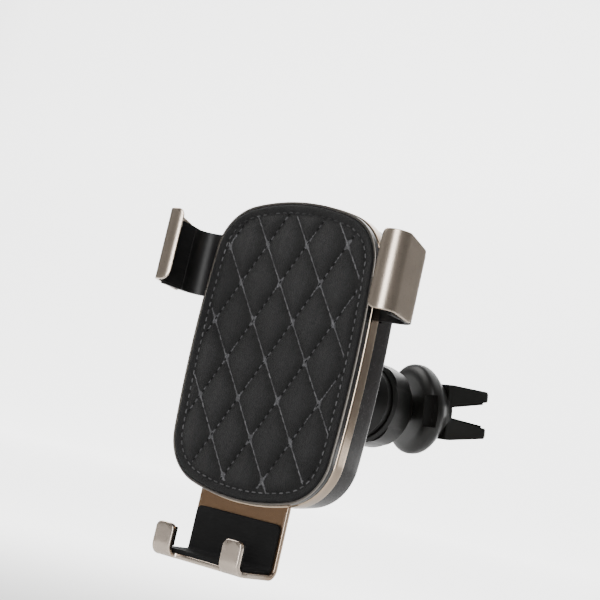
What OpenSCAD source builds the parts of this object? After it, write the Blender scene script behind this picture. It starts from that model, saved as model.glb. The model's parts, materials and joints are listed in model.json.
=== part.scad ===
// Gravity-closing phone holder on a swivelling vent clip.
// Origin: centre of the pad's front face. +X to the right, +Y back towards
// the vent, +Z up. All sizes are in millimetres.

/* [Body] */
// Width of the pad and housing outline
body_w = 54; // [52:0.5:66]
// Height of the pad and housing outline
body_h = 80.8; // [76:0.5:98]
// Radius of the outline's corners
corner_r = 14.2; // [10:0.2:17]
// Radius of the arched top and bottom edges
arch_r = 58; // [50:1:90]
// Radius of the slightly bulged sides
side_r = 355; // [200:5:600]
// Thickness of the leather cover with its foam
pad_t = 2; // [1.6:0.1:4]
// Depth of the black tray's side band
tray_band = 2; // [1.6:0.1:4]
// Width of the tray's rim around the leather
rim_w = 0.6; // [0.5:0.1:1.2]
// Depth of the metal bezel's side band
bezel_d = 3.8; // [3.2:0.1:6]
// How far the bezel stands proud of the tray
bezel_proud = 0.35; // [0.1:0.05:0.8]
// Wall thickness of the moulded shells
wall = 1.8; // [1.4:0.1:2.2]
// Inset of the rear housing from the tray's outline
housing_inset = 0.6; // [0.4:0.1:1.5]

/* [Clamps] */
// Clear width between the two clamp liners
grip_w = 72; // [68:0.5:88]
// Clear depth from the pad face to the lip liners
grip_d = 7.7; // [6.5:0.1:12]
// Height of the clamp shells at the lip
clamp_h = 20.2; // [16:0.2:24]
// Height of the clamps' lower edge above the pad centre
clamp_z = 13.2; // [12.6:0.2:16]
// Sheet thickness of the metal shells
shell_t = 1; // [0.8:0.1:1.4]
// Outer radius of the bend between side and lip
shell_bend = 3; // [2.4:0.1:4]
// Width of the lip, from the side's outer face
lip_w = 6.6; // [5:0.1:9]
// Depth of the shell's side, from lip face to back edge
shell_d = 12.4; // [9:0.1:12.8]
// Drop of the shell's top edge towards the back
shell_drop = 2.2; // [0:0.1:4]
// Drop of the shell's bottom edge towards the back
shell_sag = 1; // [0:0.1:1.2]
// Thickness of the rubber liners
liner_t = 0.5; // [0.4:0.1:0.8]
// Thickness of the moulded arm wall
arm_t = 1.3; // [1:0.1:1.8]
// Thickness of the arm plate and its rack
rack_t = 1.8; // [1.6:0.1:2.2]

/* [Foot] */
// Width of the foot plate
foot_w = 29; // [25:0.5:33]
// Sheet thickness of the foot plate
foot_t = 1.4; // [1:0.1:1.8]
// Depth of the foot's top surface below the holder's lower end
foot_drop = 15; // [12:0.2:30]
// Distance from the pad face forward to the hooks' front face
hook_reach = 11.5; // [9:0.1:16]
// Width of each hook
hook_w = 5.8; // [4:0.1:8]
// Clear width between the hooks
hook_gap = 16.4; // [12:0.2:20]
// Height of the hooks above the foot's top surface
hook_h = 6.2; // [4:0.1:10]
// Thickness of the rubber pads on the foot
foot_pad_t = 1; // [0.8:0.1:1.6]
// Height of the rubber pad on the upright plate
foot_pad_h = 11.7; // [8:0.1:11.8]

/* [Gears] */
// Pitch radius of the pinions
pinion_r = 5; // [4.8:0.1:6]
// Teeth on each pinion, a multiple of four
pinion_n = 12; // [12:4:16]
// Pressure angle of the teeth
tooth_angle = 25; // [20:1:25]
// Height of the pinion axles above the pad centre
pinion_z = 9; // [6:0.2:9]
// Play between meshing teeth
backlash = 0.3; // [0.2:0.05:0.5]
// Radius of the steel axles
axle_r = 1.5; // [1:0.1:1.8]
// Radial running clearance of bores on their shafts
run_fit = 0.05; // [0.03:0.01:0.1]
// Clearance between sliding faces
slide_fit = 0.3; // [0.2:0.05:0.5]
// Outer radius of the return springs
spring_r = 2.1; // [1.6:0.1:2.2]
// Wire diameter of the return springs
spring_wire = 0.7; // [0.4:0.1:0.8]
// Turns of each return spring
spring_turns = 8; // [5:1:10]

/* [Ball joint] */
// Distance of the ball centre behind the pad face
ball_y = 56; // [50:0.5:66]
// Height of the ball centre, relative to the pad centre
ball_z = -5.6; // [-10:0.2:0]
// Radius of the ball
ball_r = 8.5; // [7.5:0.1:9]
// Radius of the ball's neck
neck_r = 3.6; // [3:0.1:3.8]
// Thickness of the friction seat in front of the ball
seat_t = 0.9; // [0.7:0.1:1.2]
// Wall thickness of the slotted socket around the ball
socket_wall = 1.4; // [1.2:0.1:2]
// Radius of the stem that carries the socket
stem_r = 8.5; // [7:0.1:9.5]
// Wall thickness of the collar nut
nut_wall = 1.3; // [1.1:0.1:2]
// Length of the collar nut
nut_l = 12; // [10:0.2:16]
// Turn of the clip to the right of the holder
pan = 27.5; // [0:0.5:35]
// Rise of the clip above the holder's axis
tilt = 8.2; // [0:0.2:15]

/* [Vent clip] */
// Radius of the clip head's lobes
head_r = 13.4; // [12:0.1:15]
// Length of the clip head from its front face to the prong roots
head_l = 11.3; // [9:0.1:14]
// Height of the recess between the head's lobes
head_gap = 9.4; // [8:0.1:12]
// Length of the prongs
prong_l = 14.1; // [9:0.1:20]
// Half height over the prongs at their roots
prong_root = 8.2; // [7.4:0.1:9]
// Half height over the prongs at their tips
prong_tip = 7.1; // [6.2:0.1:7.4]
// Half width over the prongs at their roots
prong_side = 7.8; // [6.5:0.1:8.2]
// Slot left between the rubber grips at the roots
louvre_slot = 2.7; // [2:0.1:3.2]
// Thickness of the rubber grips
grip_t = 0.6; // [0.4:0.1:0.8]

/* [Hidden] */
$fn = 64;
e = 0.01;

// depth layers, each behind the last
rim_y = pad_t - 0.7;                 // front of the tray's rim
trim_t = 0.4;                        // thickness of the bright trim ring
tray_y = rim_y - trim_t;             // front of the trim ring
bezel_y = tray_y + trim_t + tray_band - 0.3;
housing_y = bezel_y + bezel_d;
plate_y = bezel_y + 1;               // front of the foot plate
rack_gap = 0.3;                      // gap between neighbouring rack layers
arm_y = housing_y + 0.6;             // front of the arm plates
right_y = arm_y + rack_t + rack_gap; // front of the right rack
stem_y = right_y + rack_t + rack_gap + 0.2;
stem_t = 2.2;                        // thickness of the foot's rack stem
pinion_y = arm_y - 0.2;
pinion_l = stem_y + stem_t + 0.1 - pinion_y;
floor_y = pinion_y + pinion_l + 0.4; // inside face of the rear wall
rear_y = floor_y + wall;             // outside face of the rear wall

// outline limits
half_w = body_w / 2;
half_h = body_h / 2;
leather_gap = 0.05;
foam_inset = 4;

// clamps
liner_x = grip_w / 2;                // grip face of the liners
wall_x = liner_x + liner_t;          // inner face of the arm wall
side_x = wall_x + arm_t;             // inner face of the shell
shell_x = side_x + shell_t;          // outer face of the shell
lip_y = -grip_d - liner_t - shell_t; // front face of the lips
clamp_top = clamp_z + clamp_h;
arm_z = clamp_z - 0.6;               // lower edge of the arm
arm_top = clamp_top - 1.8;           // upper edge of the arm's wall
arm_bend = 6;                        // outer radius of the arm's bend
arm_in = 3;                          // wide plate ends this far inside the wall
plate_end = half_w - arm_in;
tongue_h = 4;                        // height of each rack above its roots

// gears
pitch = 2 * PI * pinion_r / pinion_n;
module_mm = 2 * pinion_r / pinion_n;
tooth_up = 0.75 * module_mm;         // from the pitch line to the tip
tooth_down = module_mm;              // from the pitch line to the root
pinion_x = 2 * pinion_r;
rack_z = pinion_z + pinion_r;        // pitch line of the arm racks
travel_in = 5.6;                      // each arm's travel inwards from rest
travel_out = 2.6;                    // each arm's travel outwards from rest

// foot
shelf_top = -half_h - foot_drop - foot_pad_t; // top of the metal shelf
shelf_low = shelf_top - foot_t;      // underside of the metal shelf
foot_bend = 3;                       // outer radius of the foot's bends
hook_x = hook_gap / 2 + hook_w / 2;
carriage_z = -half_h + wall + travel_in + 5.2;
carriage_h = 22;
carriage_w = foot_w - 4;
lug_z = carriage_z + carriage_h;
lug_h = 3;
spring_x = carriage_w / 2 + 4.5;
seat_z = lug_z - 23;                 // top of the fixed spring seats

// screws
screw_r = 0.95;
pilot_r = screw_r + run_fit;
head_h = 0.9;
screw_head_r = 1.7;
post_r = 2.2;
top_post = [half_w - 13, end_z(half_w - 13) - 5];
low_post = [half_w - 9.8, 6.328 - end_z(half_w - 9.8)];
posts = [[top_post[0], top_post[1]], [-top_post[0], top_post[1]],
         [low_post[0], low_post[1]], [-low_post[0], low_post[1]]];
post_split = arm_y + 0.9;            // where tray posts meet housing posts

// ball joint
ball_c = [0, ball_y, ball_z];
ball_gap = 0.1;                      // gap between concentric spheres
seat_in = ball_r + ball_gap;
seat_out = seat_in + seat_t;
cavity_r = seat_out + ball_gap;
socket_r = cavity_r + socket_wall;
lip_angle = 72;                      // socket lip, from the rearward axis
lip_end = ball_r * cos(lip_angle);   // socket lip behind the ball centre
socket_end = ball_y + lip_end;
socket_start = ball_y - cavity_r - 0.6;
nut_in = socket_r + run_fit;
nut_out = nut_in + nut_wall;
nut_cap = 1.2;                       // thickness of the nut's rear lip
nut_end = socket_end + 0.2 + nut_cap;
seat_half = 45;                      // half angle of the friction seat
flange_r = stem_r + 5.5;
flange_t = 2;
flange_screw = stem_r + 2.4;         // radius of the flange screws' circle
cone_l = 7.5;

// vent clip, along its own axis from the ball centre
head_s = ball_r + 2.8;
root_s = head_s + head_l;
tip_s = root_s + prong_l;
lobe_l = 3.3;                        // length of the lobes up to their crest
slot_half = louvre_slot / 2;
stud_screw_r = 1.4;
stud_head_r = 4.6;
stud_end = root_s - 3.1;             // end of the stud inside the head
clip_bore = neck_r + run_fit;

// ---------------------------------------------------------------- outline

// point where the corner arc's centre lies: it touches both larger arcs
function corner_centre(a, b, rc, rt, rs) =
    let (p = [0, b - rt], q = [a - rs, 0], d = norm(q - p),
         r1 = rt - rc, r2 = rs - rc,
         t = (r1 * r1 - r2 * r2 + d * d) / (2 * d),
         h = sqrt(r1 * r1 - t * t), u = (q - p) / d)
    p + t * u + h * [-u[1], u[0]] * -1;

// height of the outline's end at a place across
function end_z(x) =
    let (c = corner_centre(half_w, half_h, corner_r, arch_r, side_r),
         at = atan2(c[1] - half_h + arch_r, c[0]))
    x < arch_r * cos(at) ? half_h - arch_r + sqrt(arch_r * arch_r - x * x)
                         : c[1] + sqrt(corner_r * corner_r - pow(x - c[0], 2));

function arc(c, r, a0, a1, n) =
    [for (i = [0:n]) let (a = a0 + (a1 - a0) * i / n) c + r * [cos(a), sin(a)]];

// one quarter of the outline, from the right side round to the top
function quarter(a, b, rc, rt, rs) =
    let (c = corner_centre(a, b, rc, rt, rs),
         as = atan2(c[1], c[0] - a + rs), at = atan2(c[1] - b + rt, c[0]))
    concat(arc([a - rs, 0], rs, 0, as, 3),
           arc(c, rc, as + (at - as) / 12, at, 11),
           arc([0, b - rt], rt, at + (90 - at) / 5, 90, 4));

module outline(inset = 0) {
    q = quarter(half_w - inset, half_h - inset, corner_r - inset,
                arch_r - inset, side_r - inset);
    n = len(q);
    polygon(concat(
        q,
        [for (i = [n - 2:-1:0]) [-q[i][0], q[i][1]]],
        [for (i = [1:n - 1]) [-q[i][0], -q[i][1]]],
        [for (i = [n - 2:-1:1]) [q[i][0], -q[i][1]]]));
}

// a slab of the outline between two depths
module slab(y0, y1, inset = 0) {
    translate([0, y1, 0]) rotate([90, 0, 0])
        linear_extrude(y1 - y0) outline(inset);
}

// a cylinder along the depth axis
module rod(x, z, y0, y1, r) {
    translate([x, y0, z]) rotate([-90, 0, 0]) cylinder(h = y1 - y0, r = r);
}

// a box given by its low and high corners
module block(lo, hi) {
    translate(lo) cube(hi - lo);
}

// ---------------------------------------------------------------- body

module leather_cover() {
    color([0.1, 0.1, 0.1]) difference() {
        union() {
            slab(0, 0.6, rim_w + 0.9);
            slab(0.6, pad_t, rim_w + leather_gap);
        }
        slab(pad_t / 2, pad_t + e, foam_inset);
    }
}

module pad_foam() {
    color([0.3, 0.3, 0.3]) slab(pad_t / 2, pad_t, foam_inset);
}

module trim_ring() {
    color([0.85, 0.83, 0.8]) difference() {
        slab(tray_y, rim_y);
        slab(tray_y - e, rim_y + e, rim_w);
    }
}

module front_tray() {
    color([0.06, 0.06, 0.06]) difference() {
        union() {
            slab(rim_y, bezel_y);
            for (p = posts) rod(p[0], p[1], bezel_y - e, post_split, post_r);
            for (x = [-pinion_x, pinion_x])
                rod(x, pinion_z, bezel_y - e, pinion_y - 0.05, axle_r + 1);
        }
        slab(rim_y - e, pad_t, rim_w);
        for (p = posts) rod(p[0], p[1], bezel_y, post_split + e, pilot_r);
        for (x = [-pinion_x, pinion_x])
            rod(x, pinion_z, bezel_y + 0.4, pinion_y, axle_r);
    }
}

module bezel_ring() {
    slot = foot_w / 2 + slide_fit;
    color([0.7, 0.62, 0.52]) difference() {
        slab(bezel_y, housing_y, -bezel_proud);
        slab(bezel_y - e, housing_y + e, wall - bezel_proud + 0.2);
        block([-slot, plate_y - slide_fit, -half_h - 5],
              [slot, housing_y + 1, -half_h / 2]);
    }
}

module rear_housing() {
    arm_slot_z = [arm_z - 0.4, arm_top - 1 + 0.4];
    guide_z = rack_z + tooth_down + tongue_h + slide_fit;
    stem_side = pinion_x - pinion_r + tooth_up + slide_fit;
    color([0.13, 0.1, 0.09]) difference() {
        union() {
            difference() {
                union() {
                    slab(housing_y, rear_y - 2.4, housing_inset);
                    slab(rear_y - 2.4 - e, rear_y - 1, housing_inset + 0.5);
                    slab(rear_y - 1 - e, rear_y, housing_inset + 1.4);
                }
                slab(housing_y - e, floor_y, housing_inset + wall);
            }
            for (p = posts) rod(p[0], p[1], post_split, floor_y + e, post_r);
            for (x = [-pinion_x, pinion_x])
                rod(x, pinion_z, floor_y - 0.35, floor_y + e, axle_r + 1);
            for (x = [-spring_x, spring_x])
                block([x - spring_r, stem_y - 3.4, seat_z - 1.5],
                      [x + spring_r, floor_y + e, seat_z]);
            for (s = [-1, 1]) scale([s, 1, 1])
                block([stem_side, arm_y, guide_z], [14, floor_y + e, guide_z + 1.5]);
        }
        for (s = [-1, 1]) scale([s, 1, 1])
            block([half_w / 2, housing_y - e, arm_slot_z[0]],
                  [half_w + 5, arm_y + rack_t + 0.4, arm_slot_z[1]]);
        for (p = posts) {
            rod(p[0], p[1], post_split - e, rear_y + e, pilot_r + 0.1);
            rod(p[0], p[1], rear_y - head_h, rear_y + e, screw_head_r + 0.1);
        }
        for (x = [-pinion_x, pinion_x])
            rod(x, pinion_z, floor_y - 1, rear_y - 0.5, axle_r);
        flange_holes(pilot_r + 0.1, screw_head_r + 0.1);
    }
}

// through holes in the rear wall for the socket's screws
module flange_holes(shank, head) {
    for (a = [45:90:315]) {
        x = flange_screw * cos(a);
        z = ball_z + flange_screw * sin(a);
        rod(x, z, floor_y - e, rear_y + e, shank);
        rod(x, z, floor_y - e, floor_y + head_h, head);
    }
}

module housing_screws() {
    color([0.6, 0.6, 0.6]) for (p = posts) difference() {
        union() {
            rod(p[0], p[1], rear_y - head_h, rear_y - 0.1, screw_head_r);
            rod(p[0], p[1], bezel_y + 2, rear_y - head_h + e, screw_r);
        }
        block([p[0] - 1, rear_y - 0.5, p[1] - 0.2],
              [p[0] + 1, rear_y, p[1] + 0.2]);
        block([p[0] - 0.2, rear_y - 0.5, p[1] - 1],
              [p[0] + 0.2, rear_y, p[1] + 1]);
    }
}

// ---------------------------------------------------------------- gears

function invol(r, rb) = tan(acos(rb / r)) * 180 / PI - acos(rb / r);

// half the tooth's angle at radius r
function half_tooth(r) =
    let (rb = pinion_r * cos(tooth_angle), q = max(r, rb))
    (pitch - backlash) / 2 / pinion_r * 90 / PI
    + invol(pinion_r, rb) - invol(q, rb);

// pinion outline with involute flanks, a tooth centred on angle 0
module pinion_2d() {
    rt = pinion_r + tooth_up;
    rr = pinion_r - tooth_down;
    steps = [rr, pinion_r * cos(tooth_angle), pinion_r - 0.3 * tooth_up,
             pinion_r, pinion_r + 0.5 * tooth_up, rt];
    n = len(steps) - 1;
    polygon([for (k = [0:pinion_n - 1]) each concat(
        [for (i = [0:n]) let (a = k * 360 / pinion_n - half_tooth(steps[i]))
            steps[i] * [cos(a), sin(a)]],
        [for (i = [n:-1:0]) let (a = k * 360 / pinion_n + half_tooth(steps[i]))
            steps[i] * [cos(a), sin(a)]])]);
}

module pinion(x) {
    color([0.85, 0.85, 0.8]) translate([x, pinion_y + pinion_l, pinion_z])
        rotate([90, 0, 0]) linear_extrude(pinion_l) difference() {
            pinion_2d();
            circle(r = axle_r + run_fit);
        }
}

module left_pinion() { pinion(-pinion_x); }

module right_pinion() { pinion(pinion_x); }

module pinion_axles() {
    color([0.7, 0.7, 0.72]) for (x = [-pinion_x, pinion_x])
        rod(x, pinion_z, bezel_y + 0.5, rear_y - 0.6, axle_r);
}

// rack teeth along +x that point to -y, with a gap centred on x = 0,
// from tooth number first to last, on a bar that reaches up to depth
module rack_2d(first, last, depth) {
    half = (pitch - backlash) / 4;
    up = tooth_up * tan(tooth_angle);
    down = tooth_down * tan(tooth_angle);
    for (k = [first:last]) translate([(k + 0.5) * pitch, 0])
        polygon([[-half + up, -tooth_up], [half - up, -tooth_up],
                 [half + down, tooth_down + e], [-half - down, tooth_down + e]]);
    translate([first * pitch, tooth_down])
        square([(last - first + 1) * pitch, depth]);
}

// ---------------------------------------------------------------- arms

// the arm's wall, bend and plate, seen from above, for the right-hand side
module arm_2d() {
    front = lip_y + shell_t + shell_bend;
    cx = side_x - arm_bend;
    cy = arm_y + rack_t - arm_bend;
    inner = arm_bend - (side_x - liner_x);
    back = lip_y + shell_d - 1.2;
    translate([wall_x, front]) square([arm_t, cy - front]);
    translate([liner_x, back]) square([side_x - liner_x, cy - back]);
    intersection() {
        translate([cx, cy]) difference() {
            circle(r = arm_bend);
            circle(r = inner);
        }
        translate([cx, cy]) square([arm_bend, arm_bend]);
    }
    translate([plate_end, cy + inner]) square([cx - plate_end, arm_bend - inner]);
}

// side view (depth across, height up) that trims the arm's edges
module arm_side_2d() {
    y0 = lip_y;
    y1 = arm_y + rack_t + 1;
    polygon([[y0, arm_z], [y1, arm_z], [y1, arm_top - 1], [arm_y - 3, arm_top - 1],
             [y0, arm_top]]);
}

module extrude_x(x0, x1) {
    translate([x0, 0, 0]) rotate([90, 0, 90]) linear_extrude(x1 - x0) children();
}

module arm_wall() {
    intersection() {
        translate([0, 0, arm_z]) linear_extrude(clamp_h) arm_2d();
        extrude_x(0, shell_x) arm_side_2d();
    }
}

// toothed tongue of the right arm between two depths, reaching in to the centre
module tongue(y0) {
    teeth_in = -2;
    teeth_out = 3;
    translate([pinion_x, y0 + rack_t, rack_z]) rotate([90, 0, 0])
        linear_extrude(rack_t) rack_2d(teeth_in, teeth_out, tongue_h);
}

module left_arm() {
    color([0.08, 0.08, 0.08]) mirror([1, 0, 0]) {
        arm_wall();
        tongue(arm_y);
        block([pinion_x + 3.9 * pitch, arm_y, rack_z + tooth_down],
              [plate_end + e, arm_y + rack_t, rack_z + tooth_down + tongue_h]);
    }
}

module right_arm() {
    low = rack_z + tooth_down;
    high = low + tongue_h;
    step = pinion_x + 3.3 * pitch;
    color([0.08, 0.08, 0.08]) {
        arm_wall();
        tongue(right_y);
        block([step, arm_y, low], [plate_end + e, arm_y + rack_t, high]);
        block([step, arm_y, low], [step + 2.4, right_y + rack_t, high]);
    }
}

// the sheet of the shell, seen from above
module shell_2d(t, face_x, face_y, bend, back) {
    cx = face_x - bend;
    cy = face_y + bend;
    translate([shell_x - lip_w, face_y]) square([cx - shell_x + lip_w, t]);
    intersection() {
        translate([cx, cy]) difference() {
            circle(r = bend);
            circle(r = bend - t);
        }
        translate([cx, face_y]) square([bend, bend]);
    }
    translate([face_x - t, cy]) square([t, back - cy]);
}

// front view of the clamp with its rounded lip corners
module clamp_front_2d(low, high, x0, r_low, r_high) {
    translate([x0, low + r_low]) square([shell_x - x0, high - low - r_low - r_high]);
    translate([x0 + r_low, low]) square([shell_x - x0 - r_low, high - low]);
    translate([x0 + r_high, low + r_low])
        square([shell_x - x0 - r_high, high - low - r_low]);
    translate([x0 + r_low, low + r_low]) circle(r = r_low);
    translate([x0 + r_high, high - r_high]) circle(r = r_high);
}

// side view of the shell: both edges fall slightly towards the back
module shell_side_2d() {
    y0 = lip_y;
    y1 = lip_y + shell_d;
    yb = lip_y + shell_bend;
    r = 1;
    polygon([[y0 - 1, clamp_z], [yb, clamp_z], [y1, clamp_z - shell_sag],
             [y1, clamp_top - shell_drop - r], [y1 - 0.3 * r, clamp_top - shell_drop - 0.3 * r],
             [y1 - r, clamp_top - shell_drop + 0.1], [yb, clamp_top], [y0 - 1, clamp_top]]);
}

module clamp_shell() {
    tall = clamp_h + shell_sag + 1;
    color([0.6, 0.54, 0.47]) intersection() {
        translate([0, 0, clamp_z - shell_sag - 0.5]) linear_extrude(tall)
            shell_2d(shell_t, shell_x, lip_y, shell_bend, lip_y + shell_d);
        extrude_x(0, shell_x + 1) shell_side_2d();
        translate([0, shell_d, 0]) rotate([90, 0, 0]) linear_extrude(2 * shell_d + 5)
            clamp_front_2d(clamp_z - shell_sag - 1, clamp_top, shell_x - lip_w, 0.5, 2);
        translate([0, shell_d, 0]) rotate([90, 0, 0]) linear_extrude(2 * shell_d + 5)
            union() {
                clamp_front_2d(clamp_z, clamp_top + 5, shell_x - lip_w, 2.8, 0.5);
                translate([side_x - 1, clamp_z - 5]) square([5, clamp_h]);
            }
    }
}

// rubber lining of the lip and of the side, inside shell and arm
module clamp_liner() {
    inner_y = lip_y + shell_t;
    back = lip_y + shell_d - 1.25;
    color([0.05, 0.05, 0.05]) intersection() {
        translate([0, 0, arm_z + 0.6]) linear_extrude(clamp_h - 2.4) union() {
            difference() {
                shell_2d(liner_t, wall_x, inner_y, shell_bend - shell_t, back);
                translate([0, -100]) square([shell_x - lip_w + 0.6, 200]);
            }
            // fills the corner between the bend and the arm's front edge
            translate([wall_x - 0.01, lip_y + shell_bend + 0.3])
                square([0.01, 1]);
        }
        extrude_x(0, shell_x + 1) arm_side_2d();
        translate([0, shell_d, 0]) rotate([90, 0, 0]) linear_extrude(2 * shell_d + 5)
            union() {
                clamp_front_2d(clamp_z + 0.5, clamp_top - 0.5, shell_x - lip_w + 0.6, 2.3, 1.5);
                translate([wall_x - 1, clamp_z]) square([5, clamp_h]);
            }
    }
}

module left_clamp_shell() { mirror([1, 0, 0]) clamp_shell(); }

module right_clamp_shell() { clamp_shell(); }

module left_clamp_liner() { mirror([1, 0, 0]) clamp_liner(); }

module right_clamp_liner() { clamp_liner(); }

// ---------------------------------------------------------------- foot

// the foot's sheet, seen from the side (depth across, height up)
module foot_2d() {
    y0 = -hook_reach;
    y1 = plate_y + foot_t;
    r = foot_bend;
    translate([plate_y, shelf_low + r]) square([foot_t, lug_z - 4 - shelf_low - r]);
    translate([y0 + r, shelf_low]) square([y1 - y0 - 2 * r, foot_t]);
    intersection() {
        translate([y1 - r, shelf_low + r]) difference() {
            circle(r = r);
            circle(r = r - foot_t);
        }
        translate([y1 - r, shelf_low]) square([r, r]);
    }
    intersection() {
        translate([y0 + r, shelf_low + r]) difference() {
            circle(r = r);
            circle(r = r - foot_t);
        }
        translate([y0, shelf_low]) square([r, r]);
    }
    translate([y0, shelf_low + r]) square([foot_t, hook_h + foot_pad_t + foot_t - r]);
}

// front view of the foot: a wide plate and two round-topped hooks
module foot_front_2d() {
    top = shelf_top + foot_pad_t + hook_h;
    r = 2.1;
    for (s = [-1, 1]) {
        translate([s * hook_x - hook_w / 2, shelf_low - 1]) square([hook_w, top - shelf_low + 1 - r]);
        translate([s * hook_x - hook_w / 2 + r, top - r - 1]) square([hook_w - 2 * r, r + 1]);
        for (t = [-1, 1]) translate([s * hook_x + t * (hook_w / 2 - r), top - r]) circle(r = r);
    }
}

module foot_plate() {
    shelf_front = -hook_reach + foot_bend;
    color([0.6, 0.52, 0.44]) difference() {
        intersection() {
            extrude_x(-foot_w / 2, foot_w / 2) foot_2d();
            union() {
                translate([0, shelf_front, 0]) rotate([90, 0, 0])
                    linear_extrude(hook_reach) foot_front_2d();
                block([-foot_w / 2, shelf_front - e, shelf_low - 1],
                      [foot_w / 2, plate_y + foot_t, lug_z]);
            }
        }
        rivet_places(screw_r);
    }
}

// holes or shanks that join the plate to its carriage
module rivet_places(r) {
    for (x = [-7, 7], z = [carriage_z + 5, lug_z - 7])
        rod(x, z, plate_y - 1, plate_y + foot_t + 3, r);
}

module foot_rivets() {
    color([0.75, 0.74, 0.72]) for (x = [-7, 7], z = [carriage_z + 5, lug_z - 7]) {
        rod(x, z, plate_y - 0.5, plate_y, screw_r + 0.6);
        rod(x, z, plate_y - e, plate_y + foot_t + 2.8, screw_r);
    }
}

module foot_carriage() {
    bottom_y = plate_y + foot_t;
    lug_y = stem_y - 3.4;
    half = pinion_x - pinion_r - tooth_down;
    color([0.12, 0.12, 0.13]) difference() {
        union() {
            block([-carriage_w / 2, bottom_y, carriage_z],
                  [carriage_w / 2, stem_y + stem_t, lug_z]);
            block([-spring_x - spring_r, lug_y, lug_z - e],
                  [spring_x + spring_r, stem_y + stem_t, lug_z + lug_h]);
            block([-half, stem_y, lug_z], [half, stem_y + stem_t, pinion_z + 5.5 * pitch]);
            for (s = [0, 1]) mirror([s, 0, 0]) foot_rack();
        }
        block([-carriage_w / 2 + wall, bottom_y + 4, carriage_z + wall],
              [carriage_w / 2 - wall, stem_y + stem_t + e, lug_z - wall]);
        rivet_places(screw_r);
    }
}

// rack teeth on the right-hand edge of the stem, with a gap at the axle's height
module foot_rack() {
    translate([pinion_x - pinion_r, stem_y, pinion_z]) rotate([-90, 0, 0])
        rotate([0, 0, -90]) linear_extrude(stem_t) mirror([0, 1]) rack_2d(-2, 4, e);
}

// shelf and upright lining, seen from the side
module foot_pad() {
    y0 = -hook_reach + foot_bend;
    x = foot_w / 2 - 0.8;
    top = shelf_top + foot_pad_t + foot_pad_h;
    r = 1.5;
    color([0.04, 0.04, 0.04]) intersection() {
        extrude_x(-x, x) union() {
            translate([y0, shelf_top]) square([plate_y - y0 - foot_bend + foot_t, foot_pad_t]);
            translate([plate_y - foot_pad_t, shelf_top + foot_bend - foot_t])
                square([foot_pad_t, top - shelf_top - foot_bend + foot_t]);
            translate([plate_y + foot_t - foot_bend, shelf_low + foot_bend]) intersection() {
                difference() {
                    circle(r = foot_bend - foot_t);
                    circle(r = foot_bend - foot_t - foot_pad_t);
                }
                translate([0, -foot_bend]) square([foot_bend, foot_bend]);
            }
        }
        translate([0, plate_y + 1, 0]) rotate([90, 0, 0]) linear_extrude(hook_reach + plate_y + 5)
            union() {
                translate([-x, shelf_low]) square([2 * x, top - r - shelf_low]);
                translate([-x + r, shelf_low]) square([2 * x - 2 * r, top - shelf_low]);
                for (s = [-1, 1]) translate([s * (x - r), top - r]) circle(r = r);
            }
    }
}

module hook_liners() {
    y0 = -hook_reach + foot_t;
    top = shelf_top + foot_pad_t + hook_h - 0.7;
    color([0.04, 0.04, 0.04]) for (s = [-1, 1])
        block([s * hook_x - hook_w / 2 + 0.3, y0, shelf_low + foot_bend],
              [s * hook_x + hook_w / 2 - 0.3, y0 + foot_pad_t, top]);
}

// ---------------------------------------------------------------- springs

// a coil swept along z as one closed tube
module coil(height, r, wire, turns) {
    sides = 6;
    steps = 20 * turns;
    path = [for (i = [0:steps]) let (a = 360 * turns * i / steps)
            [r * cos(a), r * sin(a), wire / 2 + (height - wire) * i / steps]];
    ring = function(i) let (a = 360 * turns * i / steps)
        [for (k = [0:sides - 1]) let (b = 360 * k / sides)
            path[i] + wire / 2 * (cos(b) * [cos(a), sin(a), 0] + sin(b) * [0, 0, 1])];
    points = [for (i = [0:steps]) each ring(i)];
    walls = [for (i = [0:steps - 1], k = [0:sides - 1]) let (m = (k + 1) % sides)
             [i * sides + k, i * sides + m, (i + 1) * sides + m, (i + 1) * sides + k]];
    cap0 = [for (k = [sides - 1:-1:0]) k];
    cap1 = [for (k = [0:sides - 1]) steps * sides + k];
    polyhedron(points, concat(walls, [cap0, cap1]));
}

module spring(x) {
    color([0.75, 0.75, 0.78])
        translate([x, stem_y - 3.4 + spring_r + 0.6, seat_z + 0.05])
        coil(lug_z - seat_z - 0.1, spring_r - spring_wire / 2, spring_wire, spring_turns);
}

module left_spring() { spring(-spring_x); }

module right_spring() { spring(spring_x); }

// ---------------------------------------------------------------- ball joint

// turns a profile of [radius, depth] about the holder's depth axis
module turned(points) {
    translate([0, 0, ball_z]) rotate([-90, 0, 0]) rotate_extrude() polygon(points);
}

// profile points on a circle about the ball centre, from the front round to the
// rear, with the circle just inside the straight pieces
function ball_arc(r, from, to) =
    let (n = ceil((to - from) / 8), k = r / cos((to - from) / n / 2))
    [for (i = [0:n]) let (a = from + (to - from) * i / n)
        [k * sin(a), ball_y - k * cos(a)]];

module ball_socket() {
    step = 96;                       // the wider front part ends at this angle
    lip_at = 180 - lip_angle;
    color([0.07, 0.07, 0.07]) difference() {
        turned([[0, rear_y], [flange_r, rear_y], [flange_r, rear_y + flange_t],
                [stem_r + 3, rear_y + flange_t + 0.6], [stem_r, rear_y + cone_l],
                [stem_r, socket_start - 3.5], [socket_r, socket_start],
                [socket_r, socket_end], [0, socket_end]]);
        turned(concat(ball_arc(cavity_r, 0, step), ball_arc(seat_in, step, lip_at),
                      [[seat_in * sin(lip_at), socket_end + 1], [0, socket_end + 1]]));
        for (a = [0, 90]) translate(ball_c) rotate([0, a, 0])
            block([-2 * ball_r, -5, -0.6], [2 * ball_r, 2 * ball_r, 0.6]);
        for (a = [45:90:315])
            rod(flange_screw * cos(a), ball_z + flange_screw * sin(a),
                rear_y - e, rear_y + flange_t + 1.2, pilot_r);
    }
}

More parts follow.
